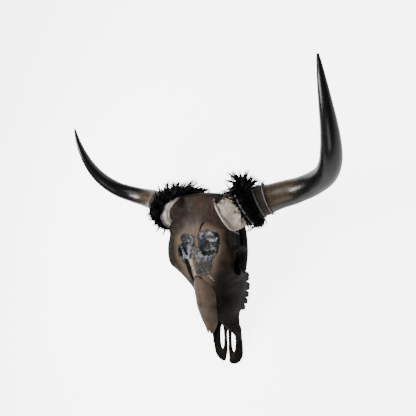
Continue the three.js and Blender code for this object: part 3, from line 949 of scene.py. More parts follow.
@dataclass(frozen=True)
class BoneFinish(Finish):
    """Smoked bone worn smooth, with a grey crust where it has weathered, and with painted shade and a painted
    highlight in its colour.

    Args:
        brown: the common colour.
        red: the warmer colour of the brow.
        dark: the darkest brown, for smoky mottling and pits, and for the painted shade on down-facing bone,
            in hollows and on the side away from the key light.
        pale: the light streaks on the brow, partly bone worn smooth and partly a painted highlight.
        tan: the lighter bone of the nose and round the crust.
        coal: the darker grey of the crust.
        slate: its middle grey.
        silver: its light flakes.
        hollow: the colour between the flakes.
        crack: the colour of its cracks.
        chalk: its white patches.
        pit: the colour of the pits and seams.
    """

    brown: Colour = (0.0155, 0.0110, 0.0083)
    red: Colour = (0.029, 0.0155, 0.0107)
    dark: Colour = (0.0036, 0.0026, 0.0018)
    pale: Colour = (0.115, 0.090, 0.074)
    tan: Colour = (0.128, 0.090, 0.063)
    coal: Colour = (0.007, 0.0075, 0.009)
    slate: Colour = (0.052, 0.055, 0.064)
    silver: Colour = (0.30, 0.31, 0.33)
    hollow: Colour = (0.005, 0.005, 0.0065)
    crack: Colour = (0.006, 0.006, 0.0065)
    chalk: Colour = (0.55, 0.50, 0.43)
    pit: Colour = (0.004, 0.004, 0.0045)

    def _skin(self, g: Graph, where: Socket, large: bpy.types.NodeOutputs,
              small: bpy.types.NodeOutputs) -> tuple[Socket, Socket]:
        """The colour of the bare bone with its painted shade and painted highlight, and its lengthwise
        streaks.
        """
        streaks = g.noise(g.stretch(where, (75.0, 11.0, 34.0)), 1.0, 5.0, 0.6, 0.8)
        reddish = g.times(g.mark("brow"), g.step(large["Blotches"], 0.30, 0.68))
        colour = g.mix(reddish, self.brown, self.red)
        colour = g.mix(g.step(small["Blotches"], 0.42, 0.70, 0.0, 0.15), colour, self.tan)
        smoke = g.noise(where, 34.0, 4.0, 0.6, 1.0)
        colour = g.mix(g.step(smoke, 0.50, 0.68, 0.0, 0.62), colour, self.dark)
        tanned = g.times(g.mark("tan"), g.step(small["Grain"], 0.28, 0.62, 0.45, 1.0))
        colour = g.mix(tanned, colour, self.tan)
        # light streaks on the brow: partly wear, partly a painted highlight on the lit forehead
        rubbed = g.times(g.mark("rubbed"), g.step(streaks, 0.34, 0.66, 0.25, 1.0))
        colour = g.mix(rubbed, colour, self.pale)
        # painted shade: darkens the bone where the skull's marks put shade
        soot = g.times(g.mark("soot"), g.step(large["Blotches"], 0.15, 0.6, 0.88, 1.0))
        return g.mix(soot, colour, self.dark), streaks

    def _crust(self, g: Graph, where: Socket) -> tuple[Socket, Socket]:
        """The colour of the crust, and its height."""
        zones = g.noise(g.vector("ADD", where, (0.31, 0.0, 0.17)), 26.0, 3.0, 0.55, 0.6)
        swirls = g.noise(where, 74.0, 8.0, 0.74, 1.7)
        fine = g.noise(where, 210.0, 6.0, 0.75, 1.0)
        marbled = g.plus(g.times(zones, 0.55), g.times(swirls, 0.45))
        cells = g.node("ShaderNodeTexVoronoi", {
            "Vector": g.stretch(where, (1.0, 0.75, 1.0)), "Scale": 150.0, "Randomness": 1.0,
        }, feature="DISTANCE_TO_EDGE").outputs["Distance"]
        colour = g.mix(g.step(fine, 0.40, 0.60), self.coal, self.slate)
        thick = g.step(g.mark("crust"), 0.62, 0.95, 0.30, 1.0)
        colour = g.mix(g.times(g.step(marbled, 0.485, 0.61, 0.0, 0.95), thick), colour, self.silver)
        colour = g.mix(g.step(marbled, 0.475, 0.40, 0.0, 0.92), colour, self.hollow)
        colour = g.mix(g.step(cells, 0.02, 0.0, 0.0, 0.6), colour, self.crack)
        return colour, g.plus(marbled, g.times(fine, 0.5))

    def paint(self, g: Graph) -> dict[str, object]:
        """The bone's sockets."""
        where = g.object_place()
        large, small = worn(g, where, 20.0), worn(g, where, 80.0)
        skin, streaks = self._skin(g, where, large, small)
        crust, chips = self._crust(g, where)
        ragged = g.centred(g.noise(where, 95.0, 7.0, 0.72, 1.2), 2.0)
        stringy = g.centred(g.noise(where, 120.0, 6.0, 0.7, 2.6), 2.2)
        rim = g.step(g.plus(g.mark("crust"), ragged), 0.40, 0.66)
        chalky = g.step(g.plus(g.mark("chalk"), stringy), 0.46, 0.88, 0.0, 0.85)
        chalky = g.times(chalky, g.step(streaks, 0.30, 0.55, 0.45, 1.0))
        pitted = g.step(g.plus(g.mark("black"), g.times(stringy, 0.45)), 0.38, 0.62)
        colour = g.mix(rim, skin, crust)
        white = g.mix(g.step(small["Grain"], 0.3, 0.7), self.silver, self.chalk)
        colour = g.mix(pitted, g.mix(chalky, colour, white), self.pit)
        colour = g.mix(g.step(small["Pits"], 0.0, 1.0, 0.5, 0.0), colour, self.dark)
        gloss = g.step(large["Blotches"], 0.3, 0.75, 0.42, 0.66)
        height = g.plus(g.times(small["Grain"], 0.45), g.times(small["Pits"], 0.3))
        height = g.plus(height, g.times(streaks, 0.45))
        return {
            "Base Color": colour,
            "Roughness": g.math("ADD", gloss, g.times(rim, 0.35), clamp=True),
            "Normal": g.bump(g.times(rim, chips), 0.9, 0.0024, g.bump(height, 0.4, 0.0008)),
            "Specular IOR Level": 0.06,
        }


@dataclass(frozen=True)
class ToothFinish(Finish):
    """Old brown teeth with dark stain between their ridges."""

    enamel: Colour = (0.016, 0.012, 0.009)
    stain: Colour = (0.006, 0.005, 0.004)

    def paint(self, g: Graph) -> dict[str, object]:
        """The teeth's sockets."""
        lines = g.noise(g.stretch(g.object_place(), (300.0, 300.0, 40.0)), 1.0, 4.0, 0.6)
        return {
            "Base Color": g.mix(g.step(lines, 0.35, 0.7), self.stain, self.enamel),
            "Normal": g.bump(lines, 0.4, 0.0006),
            "Roughness": 0.42,
            "Specular IOR Level": 0.2,
        }


@dataclass(frozen=True)
class HornFinish(Finish):
    """Polished horn, olive brown and streaked near its base and black towards its tip."""

    base: Colour = (0.125, 0.086, 0.044)
    streak: Colour = (0.036, 0.027, 0.017)
    tip: Colour = (0.0055, 0.0053, 0.0055)
    light: Colour = (0.155, 0.118, 0.074)

    def paint(self, g: Graph) -> dict[str, object]:
        """The horn's sockets."""
        along, lie, where = g.mark("along"), g.lie(), g.object_place()
        grain = g.noise(g.stretch(lie, (9.0, 70.0, 1.0)), 1.0, 6.0, 0.62, 0.3)
        rings = g.noise(g.stretch(lie, (95.0, 3.0, 1.0)), 1.0, 4.0, 0.6, 0.5)
        cloud = g.noise(where, 26.0, 5.0, 0.6, 0.6)
        fibre = g.mix(g.step(grain, 0.36, 0.68), self.streak, self.base)
        fibre = g.mix(g.times(g.step(rings, 0.5, 0.8), 0.5), fibre, self.streak)
        fibre = g.mix(g.times(g.step(cloud, 0.52, 0.75), 0.45), fibre, self.light)
        dark = g.plus(g.step(along, 0.12, 0.62), g.centred(cloud, 0.9))
        # painted shade: the horn's underside is darker
        dark = g.plus(dark, g.times(g.mark("under"), 0.75))
        pits = g.node("ShaderNodeTexVoronoi", {"Vector": where, "Scale": 210.0}).outputs["Distance"]
        near_base = g.step(along, 0.06, 0.5, 1.0, 0.15)
        ridges = g.times(g.plus(rings, g.step(pits, 0.05, 0.3)), near_base)
        return {
            "Base Color": g.mix(g.step(dark, 0.12, 0.78), fibre, self.tip),
            "Normal": g.bump(g.plus(g.times(grain, 0.5), ridges), 0.35, 0.0009),
            "Roughness": g.step(g.plus(grain, near_base), 0.4, 1.5, 0.20, 0.40),
            "Specular IOR Level": 0.3,
            "Coat Weight": 0.12,
            "Coat Roughness": 0.2,
        }


@dataclass(frozen=True)
class HideFinish(Finish):
    """Cream hide with short lying hair, and black hair where it was left on."""

    cream: Colour = (0.62, 0.56, 0.48)
    shade: Colour = (0.30, 0.25, 0.20)
    hair: Colour = (0.015, 0.014, 0.015)

    def paint(self, g: Graph) -> dict[str, object]:
        """The hide's sockets."""
        lie = g.lie()
        strands = g.noise(g.stretch(lie, (10.0, 260.0, 1.0)), 1.0, 4.0, 0.6, 0.5)
        cloud = g.noise(g.object_place(), 60.0, 4.0, 0.6, 0.8)
        colour = g.mix(g.step(cloud, 0.38, 0.68), self.shade, self.cream)
        colour = g.mix(g.times(g.step(strands, 0.42, 0.7), 0.35), colour, self.shade)
        torn = g.centred(g.noise(g.stretch(lie, (5.0, 26.0, 1.0)), 1.0, 5.0, 0.7), 1.3)
        patch = g.step(g.plus(g.mark("hairy"), torn), 0.50, 0.95, 0.0, 0.82)
        return {
            "Base Color": g.mix(patch, colour, self.hair),
            "Normal": g.bump(strands, 0.5, 0.0012),
            "Roughness": 0.78,
            "Specular IOR Level": 0.2,
            "Sheen Weight": 0.1,
        }


@dataclass(frozen=True)
class FurFinish(Finish):
    """Dark fur or hair, lighter on some locks."""

    root: Colour = (0.0022, 0.0022, 0.0026)
    tip: Colour = (0.0075, 0.0068, 0.0072)

    def paint(self, g: Graph) -> dict[str, object]:
        """The fur's sockets."""
        cloud = g.noise(g.object_place(), 90.0, 3.0)
        return {
            "Base Color": g.mix(g.step(cloud, 0.4, 0.75), self.root, self.tip),
            "Roughness": 0.5,
            "Specular IOR Level": 0.1,
        }


@dataclass(frozen=True)
class LeatherFinish(Finish):
    """Dry brown leather with fine creases."""

    brown: Colour = (0.030, 0.020, 0.014)
    worn: Colour = (0.105, 0.078, 0.056)

    def paint(self, g: Graph) -> dict[str, object]:
        """The leather's sockets."""
        creases = g.noise(g.stretch(g.lie(), (14.0, 40.0, 1.0)), 1.0, 6.0, 0.65, 1.2)
        cells = g.node("ShaderNodeTexVoronoi", {"Vector": g.object_place(), "Scale": 520.0})
        pores = cells.outputs["Distance"]
        return {
            "Base Color": g.mix(g.step(creases, 0.45, 0.72), self.brown, self.worn),
            "Normal": g.bump(g.plus(creases, g.times(pores, 0.3)), 0.6, 0.0012),
            "Roughness": 0.68,
            "Specular IOR Level": 0.25,
        }


@dataclass(frozen=True)
class TwineFinish(Finish):
    """Pale grey twisted twine with darker fibres."""

    pale: Colour = (0.46, 0.43, 0.47)
    dark: Colour = (0.12, 0.105, 0.12)

    def paint(self, g: Graph) -> dict[str, object]:
        """The twine's sockets."""
        where = g.object_place()
        fibre = g.noise(where, 700.0, 4.0, 0.7, 0.4)
        stain = g.noise(where, 45.0, 3.0, 0.6)
        colour = g.mix(g.step(fibre, 0.35, 0.65), self.dark, self.pale)
        return {
            "Base Color": g.mix(g.step(stain, 0.5, 0.8, 0.0, 0.7), colour, self.dark),
            "Normal": g.bump(fibre, 0.6, 0.0005),
            "Roughness": 0.72,
        }


@dataclass(frozen=True)
class FloorFinish(Finish):
    """A plain studio floor, which the camera sees brighter than the object does.

    Args:
        colour: its colour.
        glow: its light on the object and in the picture.
    """

    colour: Colour = (0.93, 0.93, 0.93)
    glow: tuple[float, float] = (0.8, 5.5)

    def paint(self, g: Graph) -> dict[str, object]:
        """The floor's sockets."""
        shade = tuple(c * 0.985 for c in self.colour)
        seen = g.node("ShaderNodeLightPath").outputs["Is Camera Ray"]
        return {
            "Base Color": g.mix(g.noise(g.object_place(), 3.0, 2.0), shade, self.colour),
            "Roughness": 0.9,
            "Emission Color": (1.0, 1.0, 1.0, 1.0),
            "Emission Strength": g.step(seen, 0.0, 1.0, *self.glow),
        }


class Finishes:
    """Every material of the scene, made once."""

    def __init__(self) -> None:
        self.bone = BoneFinish().make("bone")
        self.tooth = ToothFinish().make("tooth")
        self.horn = HornFinish().make("horn")
        self.hide = HideFinish().make("hide")
        self.fur = FurFinish().make("fur")
        self.hair = FurFinish((0.008, 0.0072, 0.007), (0.085, 0.072, 0.062)).make("hair")
        self.leather = LeatherFinish().make("leather")
        self.twine = TwineFinish().make("twine")
        self.floor = FloorFinish().make("floor")


def dress(thing: Thing, material: bpy.types.Material, slot: str, *nodes: str) -> Thing:
    """Gives a piece its material and its body, and hides the nodes it stands for.

    Args:
        thing: the piece.
        material: its material.
        slot: not used.
        nodes: the CAD nodes it replaces.

    Returns:
        The piece.
    """
    thing.data.materials.clear()
    thing.data.materials.append(material)
    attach(thing, "root")
    if nodes:
        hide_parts(*nodes)
    LOG.info("%s: %d faces", thing.name, len(thing.data.polygons))
    return thing


# Horns and their bands


@dataclass
class HornLine:
    """The middle line of a horn and the way the bands face along it.

    Args:
        corners: the line's points on the left side.
        radii: pairs of distance and radius.
        begins: where the sheath ends on its core.
        right_way_in: the way the bands of the right side go on before the line's start.
        lean: the way the bands face where they meet the skull.
        lean_ends: the distances between which they turn to follow the horn.
    """

    corners: tuple = (
        (76, 363, 174), (112, 378, 166), (152, 394, 152.5), (194, 408, 143.5), (234.5, 417, 145.6),
        (271, 425, 160), (301.5, 434, 184.7), (319, 446.5, 212), (329.3, 463.5, 241), (335, 485.5, 268),
        (337, 514, 294), (337, 547, 316.7), (335.6, 578, 332),
    )
    radii: tuple = (
        (0, 32), (50, 32.5), (90, 31.5), (131, 28.9), (171, 25.8), (211, 23.4), (251, 21.5),
        (286, 19.7), (321, 17.4), (356, 14.4), (396, 10.8), (436, 6.8), (461, 3.6), (473, 1.4),
    )
    begins: float = 9.0
    right_way_in: tuple = (0.968, -0.25, -0.04)
    lean: tuple = (0.8, 0.539, -0.269)
    lean_ends: tuple = (40.0, 118.0)

    def __post_init__(self) -> None:
        self.path = spline(np.asarray(self.corners, float), np.linspace(0, 1, 1501))
        steps = np.linalg.norm(np.diff(self.path, axis=0), axis=1)
        self.arc = np.concatenate([[0], np.cumsum(steps)])
        self.length = float(self.arc[-1])
        self.ways = unit(np.gradient(self.path, axis=0))

    def at(self, s: float) -> tuple[Array, Array]:
        """The place and direction at a distance along the left horn."""
        inside = min(max(s, 0.0), self.length)
        point = np.array([np.interp(inside, self.arc, self.path[:, k]) for k in range(3)])
        way = unit(np.array([np.interp(inside, self.arc, self.ways[:, k]) for k in range(3)]))
        return point, way

    def radius(self, s: float) -> float:
        """The sheath's radius at a distance, rounded between the measured places."""
        places, sizes = np.array(self.radii, float).T
        near = np.interp(s + np.linspace(-12, 12, 9), places, sizes)
        return float(np.interp(s, places, sizes) if s > self.length - 14 else near.mean())

    def band(self, s: float, side: Side) -> tuple[Array, Array]:
        """The centre and facing of a band at a distance, also before the horn line's start."""
        point, way = self.at(s)
        way_in = way if side is Side.LEFT else unit(np.array(self.right_way_in))
        point = point + way_in * min(s, 0.0)
        blend = float(smoothstep(*self.lean_ends, s))
        axis = unit(unit(np.array(self.lean)) * (1 - blend) + way * blend)
        return point * side.mirror, axis * side.mirror


@dataclass
class Horn:
    """One horn sheath."""

    side: Side
    line: HornLine
    sides: int = 72
    rings: int = 330
    seed: int = 5

    def build(self) -> Skin:
        """The sheath as a skin with growth ridges near its base."""
        noise = Noise(self.seed + self.side.value)
        mirror = self.side.mirror
        places = np.linspace(self.line.begins + GAP, self.line.length, self.rings)
        turn = full_turn(self.sides)
        rows, along, around, under = [], [], [], []
        for s in places:
            point, way = self.line.at(s)
            rows.append(ring(point * mirror, way * mirror, self.line.radius(s), self.sides))
            along.append(np.full(self.sides, s / self.line.length))
            around.append(np.abs(turn / math.pi - 1))
            # 0 on top and 1 underneath, which the finish uses for painted shade on the horn's underside
            under.append(0.5 - 0.5 * np.cos(turn))
        skin = loft(np.array(rows))
        middle = np.repeat([self.line.at(s)[0] * mirror for s in places], self.sides, axis=0)
        flat = skin.points[:-2]
        out = unit(flat - middle)
        share = np.concatenate(along)
        base = 1 - smoothstep(0.1, 0.6, share)
        wave = np.sin(share * self.line.length / 7.5 + 1.8 * noise.value(flat, 60.0))
        ridges = base * (0.35 * wave + 0.5 * noise.layered(flat, 16.0))
        relief = ridges + 0.25 * noise.value(flat, 45.0) * (1 - base * 0.3)
        limit = np.clip((1 - share) * 8, 0, 1)
        skin.points[:-2] = flat + out * (relief * limit)[:, None]
        for name, values in (("along", along), ("around", around), ("under", under)):
            joined = np.concatenate(values)
            skin.marks[name] = np.concatenate([joined, joined[:1], joined[-1:]])
        return skin

    def dress(self, finishes: Finishes) -> Thing:
        """Builds the horn and gives it its finish."""
        name = f"horn_{self.side.word}"
        return dress(self.build().to_object(f"{name}_sheath"), finishes.horn, "horn", name)


@dataclass
class Band:
    """A strip wound round the base of a horn.

    Args:
        side: the horn's side.
        line: the horn's line.
        begin: where it starts along the line.
        end: where it ends.
        radius: its radius at both ends.
        bulge: how far its middle swells out.
    """

    side: Side
    line: HornLine
    begin: float
    end: float
    radius: tuple[float, float]
    bulge: float = 0.0

    def surface(self, s: Array, turn: Array, lift: Array | float = 0.0) -> Array:
        """Points on the band.

        Args:
            s: distances along the horn.
            turn: angles round it, from its top.
            lift: height over the band's plain surface.

        Returns:
            One point for each pair.
        """
        t = (s - self.begin) / (self.end - self.begin)
        near, far = self.radius
        size = near + (far - near) * t + self.bulge * np.sin(math.pi * np.clip(t, 0, 1)) + lift
        out = np.zeros((len(s), 3))
        for k, (place, angle) in enumerate(zip(s, turn)):
            centre, axis = self.line.band(float(place), self.side)
            first, second = across(axis)
            out[k] = centre + (math.cos(angle) * first + math.sin(angle) * second) * size[k]
        return out

    def wound(self, sides: int, steps: int, core: float, relief: "Relief") -> Skin:
        """The band as a closed sleeve with relief on its outside.

        Args:
            sides: points round it.
            steps: points along it.
            core: radius of the hole through it.
            relief: the height of its folds.

        Returns:
            The closed skin, with its marks.
        """
        turn = full_turn(sides)
        edge_drop, edge_share = 2.2, 0.4
        span = self.end - self.begin
        outside = [0.0, *np.linspace(0.06, 0.94, steps), 1.0]
        inside = [1.0, 0.5, 0.0]
        rows = []
        for t in outside:
            height = relief.height(t, turn)
            lift = height * edge_share - edge_drop if t in (0.0, 1.0) else height
            rows.append(self.surface(np.full(sides, self.begin + span * t), turn, lift))
        for t in inside:
            s = self.begin + span * t
            centre, _ = self.line.band(s, self.side)
            rows.append(centre + unit(self.surface(np.full(sides, s), turn) - centre) * core)
        skin = hoop(np.array(rows))
        skin.marks["along"] = np.repeat(outside + inside, sides)
        skin.marks["around"] = np.tile(np.abs(turn / math.pi - 1), len(rows))
        skin.marks["turn"] = np.tile(turn, len(rows))
        skin.marks["outer"] = np.repeat([1.0] * len(outside) + [0.0] * len(inside), sides)
        return skin


@dataclass
class Relief:
    """Folds and lumps on a wound band.

    Args:
        folds: how many diagonal folds go round.
        slant: how far each one turns from one edge to the other.
        depth: their height.
        lumps: the height of the uneven winding.
        seed: the seed of the lumps.
    """

    folds: int
    slant: float
    depth: float
    lumps: float
    seed: int

    def height(self, t: float, turn: Array) -> Array:
        """Height at a share of the width, for each angle."""
        noise = Noise(self.seed)
        where = np.stack([np.cos(turn) * 3, np.sin(turn) * 3, np.full(len(turn), t * 2.5)], -1)
        warp = noise.value(where, 1.3)
        wave = np.sin(self.folds * turn + self.slant * t + 1.6 * warp)
        crease = -np.abs(wave) ** 0.6
        return self.depth * (crease + 0.5) + self.lumps * noise.layered(where + 9.0, 1.0)


@dataclass
class LockStyle:
    """How one kind of lock grows.

    Args:
        name: its name.
        density: locks for each square centimetre.
        length: the shortest and longest lock.
        hairs: hairs in a lock.
        slim: half a hair's width as a share of its length.
        curl: how far its tip bends over.
        lean: how far it lies over from standing straight out.
        spread: how far it strays.
        shaggy: whether it grows mostly where the fur is shaggy.
    """

    name: str
    density: float
    length: tuple[float, float]
    hairs: int
    slim: float
    curl: float
    lean: float
    spread: float
    shaggy: bool = False


LOCK_STYLES = (
    LockStyle("undercoat", 24.0, (8.0, 13.0), 1, 0.080, 0.35, 0.62, 0.28),
    LockStyle("locks", 8.0, (12.0, 20.0), 3, 0.042, 0.40, 0.50, 0.34),
    LockStyle("wisps", 2.2, (22.0, 42.0), 6, 0.036, 0.50, 0.42, 0.45, True),
)
HAIR_STYLE = LockStyle("hair", 24.0, (8.0, 16.0), 1, 0.040, 0.25, 0.93, 0.16)


@dataclass
class Pelt:
    """A skin with hair: how its locks lie, and the tree that grows them.

    Args:
        band: the band the skin follows.
        tree: the tree that grows locks.
        seed: the seed of the locks.
    """

    band: Band
    tree: Tree
    seed: int = 40

    def comb(self, skin: Skin, s: Array, turn: Array, low: float, high: float) -> None:
        """Stores which way the hair lies, and each point's place on the skin's unwrap.

        Args:
            skin: the skin to mark.
            s: each point's distance along the horn.
            turn: its angle round the horn.
            low: the lowest distance of the whole skin.
            high: the highest.
        """
        here = self.band.surface(s, turn)
        out = unit(self.band.surface(s, turn, 4.0) - here)
        ahead = unit(self.band.surface(s + 1.0, turn) - self.band.surface(s - 1.0, turn))
        around = np.cross(ahead, out)
        noise = Noise(self.seed + 3)
        swirl = noise.value(here, 15.0)[:, None]
        tangle = noise.value(here + 50.0, 11.0)[:, None]
        shaggy = np.exp(-(turned_from(turn, self.band.side.back * 0.8) / 0.9) ** 2)[:, None]
        share = (s - low) / (high - low)
        outward = (share - 0.45)[:, None] * (0.25 + 1.9 * shaggy)
        flow = ahead * (outward + 0.75 * swirl) + around * (0.8 * tangle + 0.3) + out * 0.35
        skin.vectors["flow"] = unit(flow)
        skin.vectors["round"] = np.stack([np.cos(turn), np.sin(turn), share], -1)

    def grow(self, skin: Skin, style: LockStyle, grows: Array, long: Array,
             material: bpy.types.Material, name: str, slot: str) -> Thing:
        """Grows one kind of lock on the skin.

        Args:
            skin: a combed skin.
            style: the kind of lock.
            grows: how thickly it grows at each point, from 0 to 1.
            long: how long it is at each point, as a share of its own length.
            material: its material.
            name: the new piece's name.
            slot: the record's slot.

        Returns:
            The new piece.
        """
        bed = Skin(skin.points, skin.faces, {"grows": grows, "long": long}, skin.vectors)
        lock = lock_shape("lock", style.hairs, style.slim, style.curl, self.seed)
        per_square_metre = 1e4
        shortest, longest = style.length
        made = run_tree(bed.to_object("bed"), self.tree, {
            "Lock": lock, "Density": style.density * per_square_metre,
            "Shortest": shortest * MM, "Longest": longest * MM,
            "Lean": style.lean, "Spread": style.spread,
            "Seed": self.seed + self.band.side.value, "Material": material,
        }, name)
        remove(lock)
        return dress(made, material, slot)


@dataclass
class HideWrap:
    """The cream hide next to the skull, with dark hair left on its upper edge.

    Args:
        band: its place round the horn.
        folds: how many folds go round it.
        hair_turn: the angle round which its hair was left on.
        hair_wide: how far round the hair goes.
    """

    band: Band
    folds: int = 5
    hair_turn: float = 0.0
    hair_wide: float = 0.7

    def dress(self, finishes: Finishes, tree: Tree) -> Thing:
        """Builds the wrap and gives it its finish."""
        word = self.band.side.word
        relief = Relief(self.folds, 2.4, 1.1, 0.9, 11 + self.band.side.value)
        skin = self.band.wound(144, 24, 30.0, relief)
        turn, outer, t = skin.marks.pop("turn"), skin.marks.pop("outer"), skin.marks["along"]
        off = np.abs(turned_from(turn, self.hair_turn)) / self.hair_wide
        top = smoothstep(1.25, 0.45, off + 0.55 * t)
        skin.marks["hairy"] = top
        pelt = Pelt(self.band, tree, 70)
        span = self.band.end - self.band.begin
        pelt.comb(skin, self.band.begin + span * t, turn, self.band.begin, self.band.end)
        grows = 0.7 * outer * top * smoothstep(0.95, 0.6, t) * smoothstep(0.03, 0.22, t)
        pelt.grow(skin, HAIR_STYLE, grows, np.ones(len(t)), finishes.hair, f"hide_hair_{word}", "fur")
        skin.vectors = {}
        node = f"hide_wrap_{word}"
        return dress(skin.to_object(f"{node}_folds"), finishes.hide, "hide", node)


@dataclass
class LeatherCuff:
    """The leather beyond the fur."""

    band: Band

    def dress(self, finishes: Finishes) -> Thing:
        """Builds the cuff and gives it its finish."""
        word = self.band.side.word
        skin = self.band.wound(120, 12, 30.5, Relief(7, 1.2, 0.6, 0.5, 23))
        skin.marks.pop("turn")
        skin.marks.pop("outer")
        node = f"leather_cuff_{word}"
        return dress(skin.to_object(f"{node}_skin"), finishes.leather, "cuff", node)


@dataclass
class FurBand:
    """The black fur strip: a dark skin and the locks that grow on it.

    Args:
        band: its place round the horn.
        pelt: what combs it and grows its locks.
        flap: the first distance and both angles of a flap that lies over the hide, if it has one.
        pressed: the distance at which a tie presses it down.
    """

    band: Band
    pelt: Pelt
    flap: tuple[float, float, float] | None = None
    pressed: float | None = None

    def _flap_skin(self) -> tuple[Skin, Array, Array, Array]:
        """The flap as a thick curved sheet, with its distances, angles and outer side."""
        first, turn_from, turn_to = self.flap
        last = self.band.begin + 6.0
        wide, places = 26, np.linspace(first, last, 14)
        turns = np.linspace(turn_from, turn_to, wide)
        share = np.clip((turns - turn_from) / (turn_to - turn_from), 0.02, 0.98)
        plump = 3.0 + 10.0 * np.sin(math.pi * share) ** 0.35
        rows = []
        for s in np.repeat(places[:, None], wide, 1):
            over, under = self.band.surface(s, turns, plump), self.band.surface(s, turns, 2.2)
            rows.append(np.vstack([over, under[::-1]]))
        angles = np.tile(np.concatenate([turns, turns[::-1]]), len(places))
        outer = np.tile(np.repeat([1.0, 0.0], wide), len(places))
        middle = (turn_from + turn_to) / 2
        return (
            loft(np.array(rows)),
            np.append(np.repeat(places, 2 * wide), [first, last]),
            np.append(angles, [middle, middle]),
            np.append(outer, [0, 0]),
        )

    def build(self) -> tuple[Skin, Array, Array, Array]:
        """The combed skin, with how thickly, how shaggily and how long each point is grown."""
        skin = self.band.wound(96, 16, 30.5, Relief(9, 2.0, 1.0, 1.6, 31))
        s = self.band.begin + (self.band.end - self.band.begin) * skin.marks["along"]
        turn, outer = skin.marks["turn"], skin.marks["outer"]
        skin.marks = {}
        if self.flap:
            flap, *more = self._flap_skin()
            skin = skin.joined(flap)
            s, turn, outer = (np.concatenate(pair) for pair in zip((s, turn, outer), more))
        self.pelt.comb(skin, s, turn, s.min(), s.max())
        shaggy = 0.25 + np.exp(-(turned_from(turn, self.band.side.back) / 0.95) ** 2)
        if self.pressed is not None:
            outer = outer * smoothstep(2.0, 6.0, np.abs(s - self.pressed))
        outer = outer * smoothstep(1.0, 6.0, self.band.end - s)
        width = self.band.end - self.band.begin
        ends = 0.55 + 0.45 * smoothstep(0.0, 0.35 * width, self.band.end - s)
        return skin, outer, shaggy, ends

    def dress(self, finishes: Finishes) -> None:
        """Builds the skin and the locks and gives them their finish."""
        skin, grows, shaggy, ends = self.build()
        word = self.band.side.word
        node = f"fur_band_{word}"
        for style in LOCK_STYLES:
            share = grows * shaggy if style.shaggy else grows
            long = (0.7 + 0.5 * np.clip(shaggy, 0, 1)) * ends
            self.pelt.grow(skin, style, share, long, finishes.fur, f"fur_{style.name}_{word}", "fur")
        skin.vectors = {}
        dress(skin.to_object(f"{node}_skin"), finishes.fur, "fur", node)


@dataclass
class Turn:
    """One turn of a tie.

    Args:
        shift: how far it lies along the horn from the tie's place.
        tilt: how far it leans along the horn at its outermost.
        at: the angle at which it leans towards the horn's tip.
        sag: how far it hangs off at its front.
    """

    shift: float = 0.0
    tilt: float = 0.0
    at: float = 0.0
    sag: float = 0.0


@dataclass
class TwineTie:
    """Twisted twine tied round a band.

    Args:
        band: the band it lies on.
        node: the name of the CAD node it stands for.
        s: its place along the line.
        lift: its height over the band.
        turns: its turns.
        knot: the angle at which it is knotted, if it shows a knot.
        strand: the radius of one strand.
        pitch: how far along it one full twist goes.
    """

    band: Band
    node: str
    s: float
    lift: float
    turns: tuple[Turn, ...]
    knot: float | None = None
    strand: float = 0.55
    pitch: float = 7.0

    def _turn(self, turn: Turn, seed: int) -> Array:
        """The middle line of one turn."""
        angle = full_turn(260)
        noise = Noise(seed)
        round_it = np.stack([np.cos(angle) * 3, np.sin(angle) * 3, np.full(len(angle), seed * 1.7)], -1)
        s = self.s + turn.shift + turn.tilt * np.cos(angle - turn.at) + 0.9 * noise.value(round_it, 1.4)
        front = math.pi + self.band.side.value * (SAG_TURN - math.pi)
        low = np.exp(-(((angle - front) / 0.40) ** 2))
        lift = self.lift + turn.sag * low + 0.3 * noise.value(round_it + 40, 0.8)
        return self.band.surface(s, angle, lift)

    def _knot(self, angle: float) -> list[Array]:
        """A lump of crossing loops with two loose ends."""
        places = np.full(3, self.s)
        angles, lifts = np.array([angle, angle, angle + 0.05]), self.lift + np.array([0.9, 4.0, 0.9])
        here, over, beside = self.band.surface(places, angles, lifts)
        out, way = unit(over - here), unit(beside - here)
        along = np.cross(out, way)
        t = np.linspace(0, math.tau, 70)[:-1, None]
        loops = here + along * (np.sin(t) + 1.6 * np.sin(2 * t)) * 1.25
        loops = loops + way * (np.cos(t) - 1.6 * np.cos(2 * t)) * 1.25 + out * np.sin(3 * t) * 0.9
        u = np.linspace(0, 1, 24)[:, None]
        rise = out * (1.2 + 4.5 * u - 3.5 * u**2)
        ends = [here + along * k * 9 * u + way * (4 * u + k * 2 * u**2) + rise for k in (-1, 1)]
        return [loops, *ends]

    def dress(self, finishes: Finishes, tree: Tree) -> Thing:
        """Builds the twine and gives it its finish."""
        paths = [(self._turn(turn, 60 + k), True) for k, turn in enumerate(self.turns)]
        if self.knot is not None:
            loops, *ends = self._knot(self.knot)
            paths += [(loops, True)] + [(end, False) for end in ends]
        made = []
        for path, closed in paths:
            length = np.linalg.norm(np.diff(path, axis=0), axis=1).sum()
            made.append(run_tree(wire("line", path, closed), tree, {
                "Strand": self.strand * MM, "Twist": math.tau * max(round(length / self.pitch), 1),
                "Material": finishes.twine,
            }, "turn"))
        whole = made[0]
        shape = bmesh.new()
        for piece in made:
            shape.from_mesh(piece.data)
        shape.to_mesh(whole.data)
        shape.free()
        for piece in made[1:]:
            remove(piece)
        whole.name = f"{self.node}_twine"
        smooth(whole.data)
        return dress(whole, finishes.twine, "twine", self.node)


# The skull


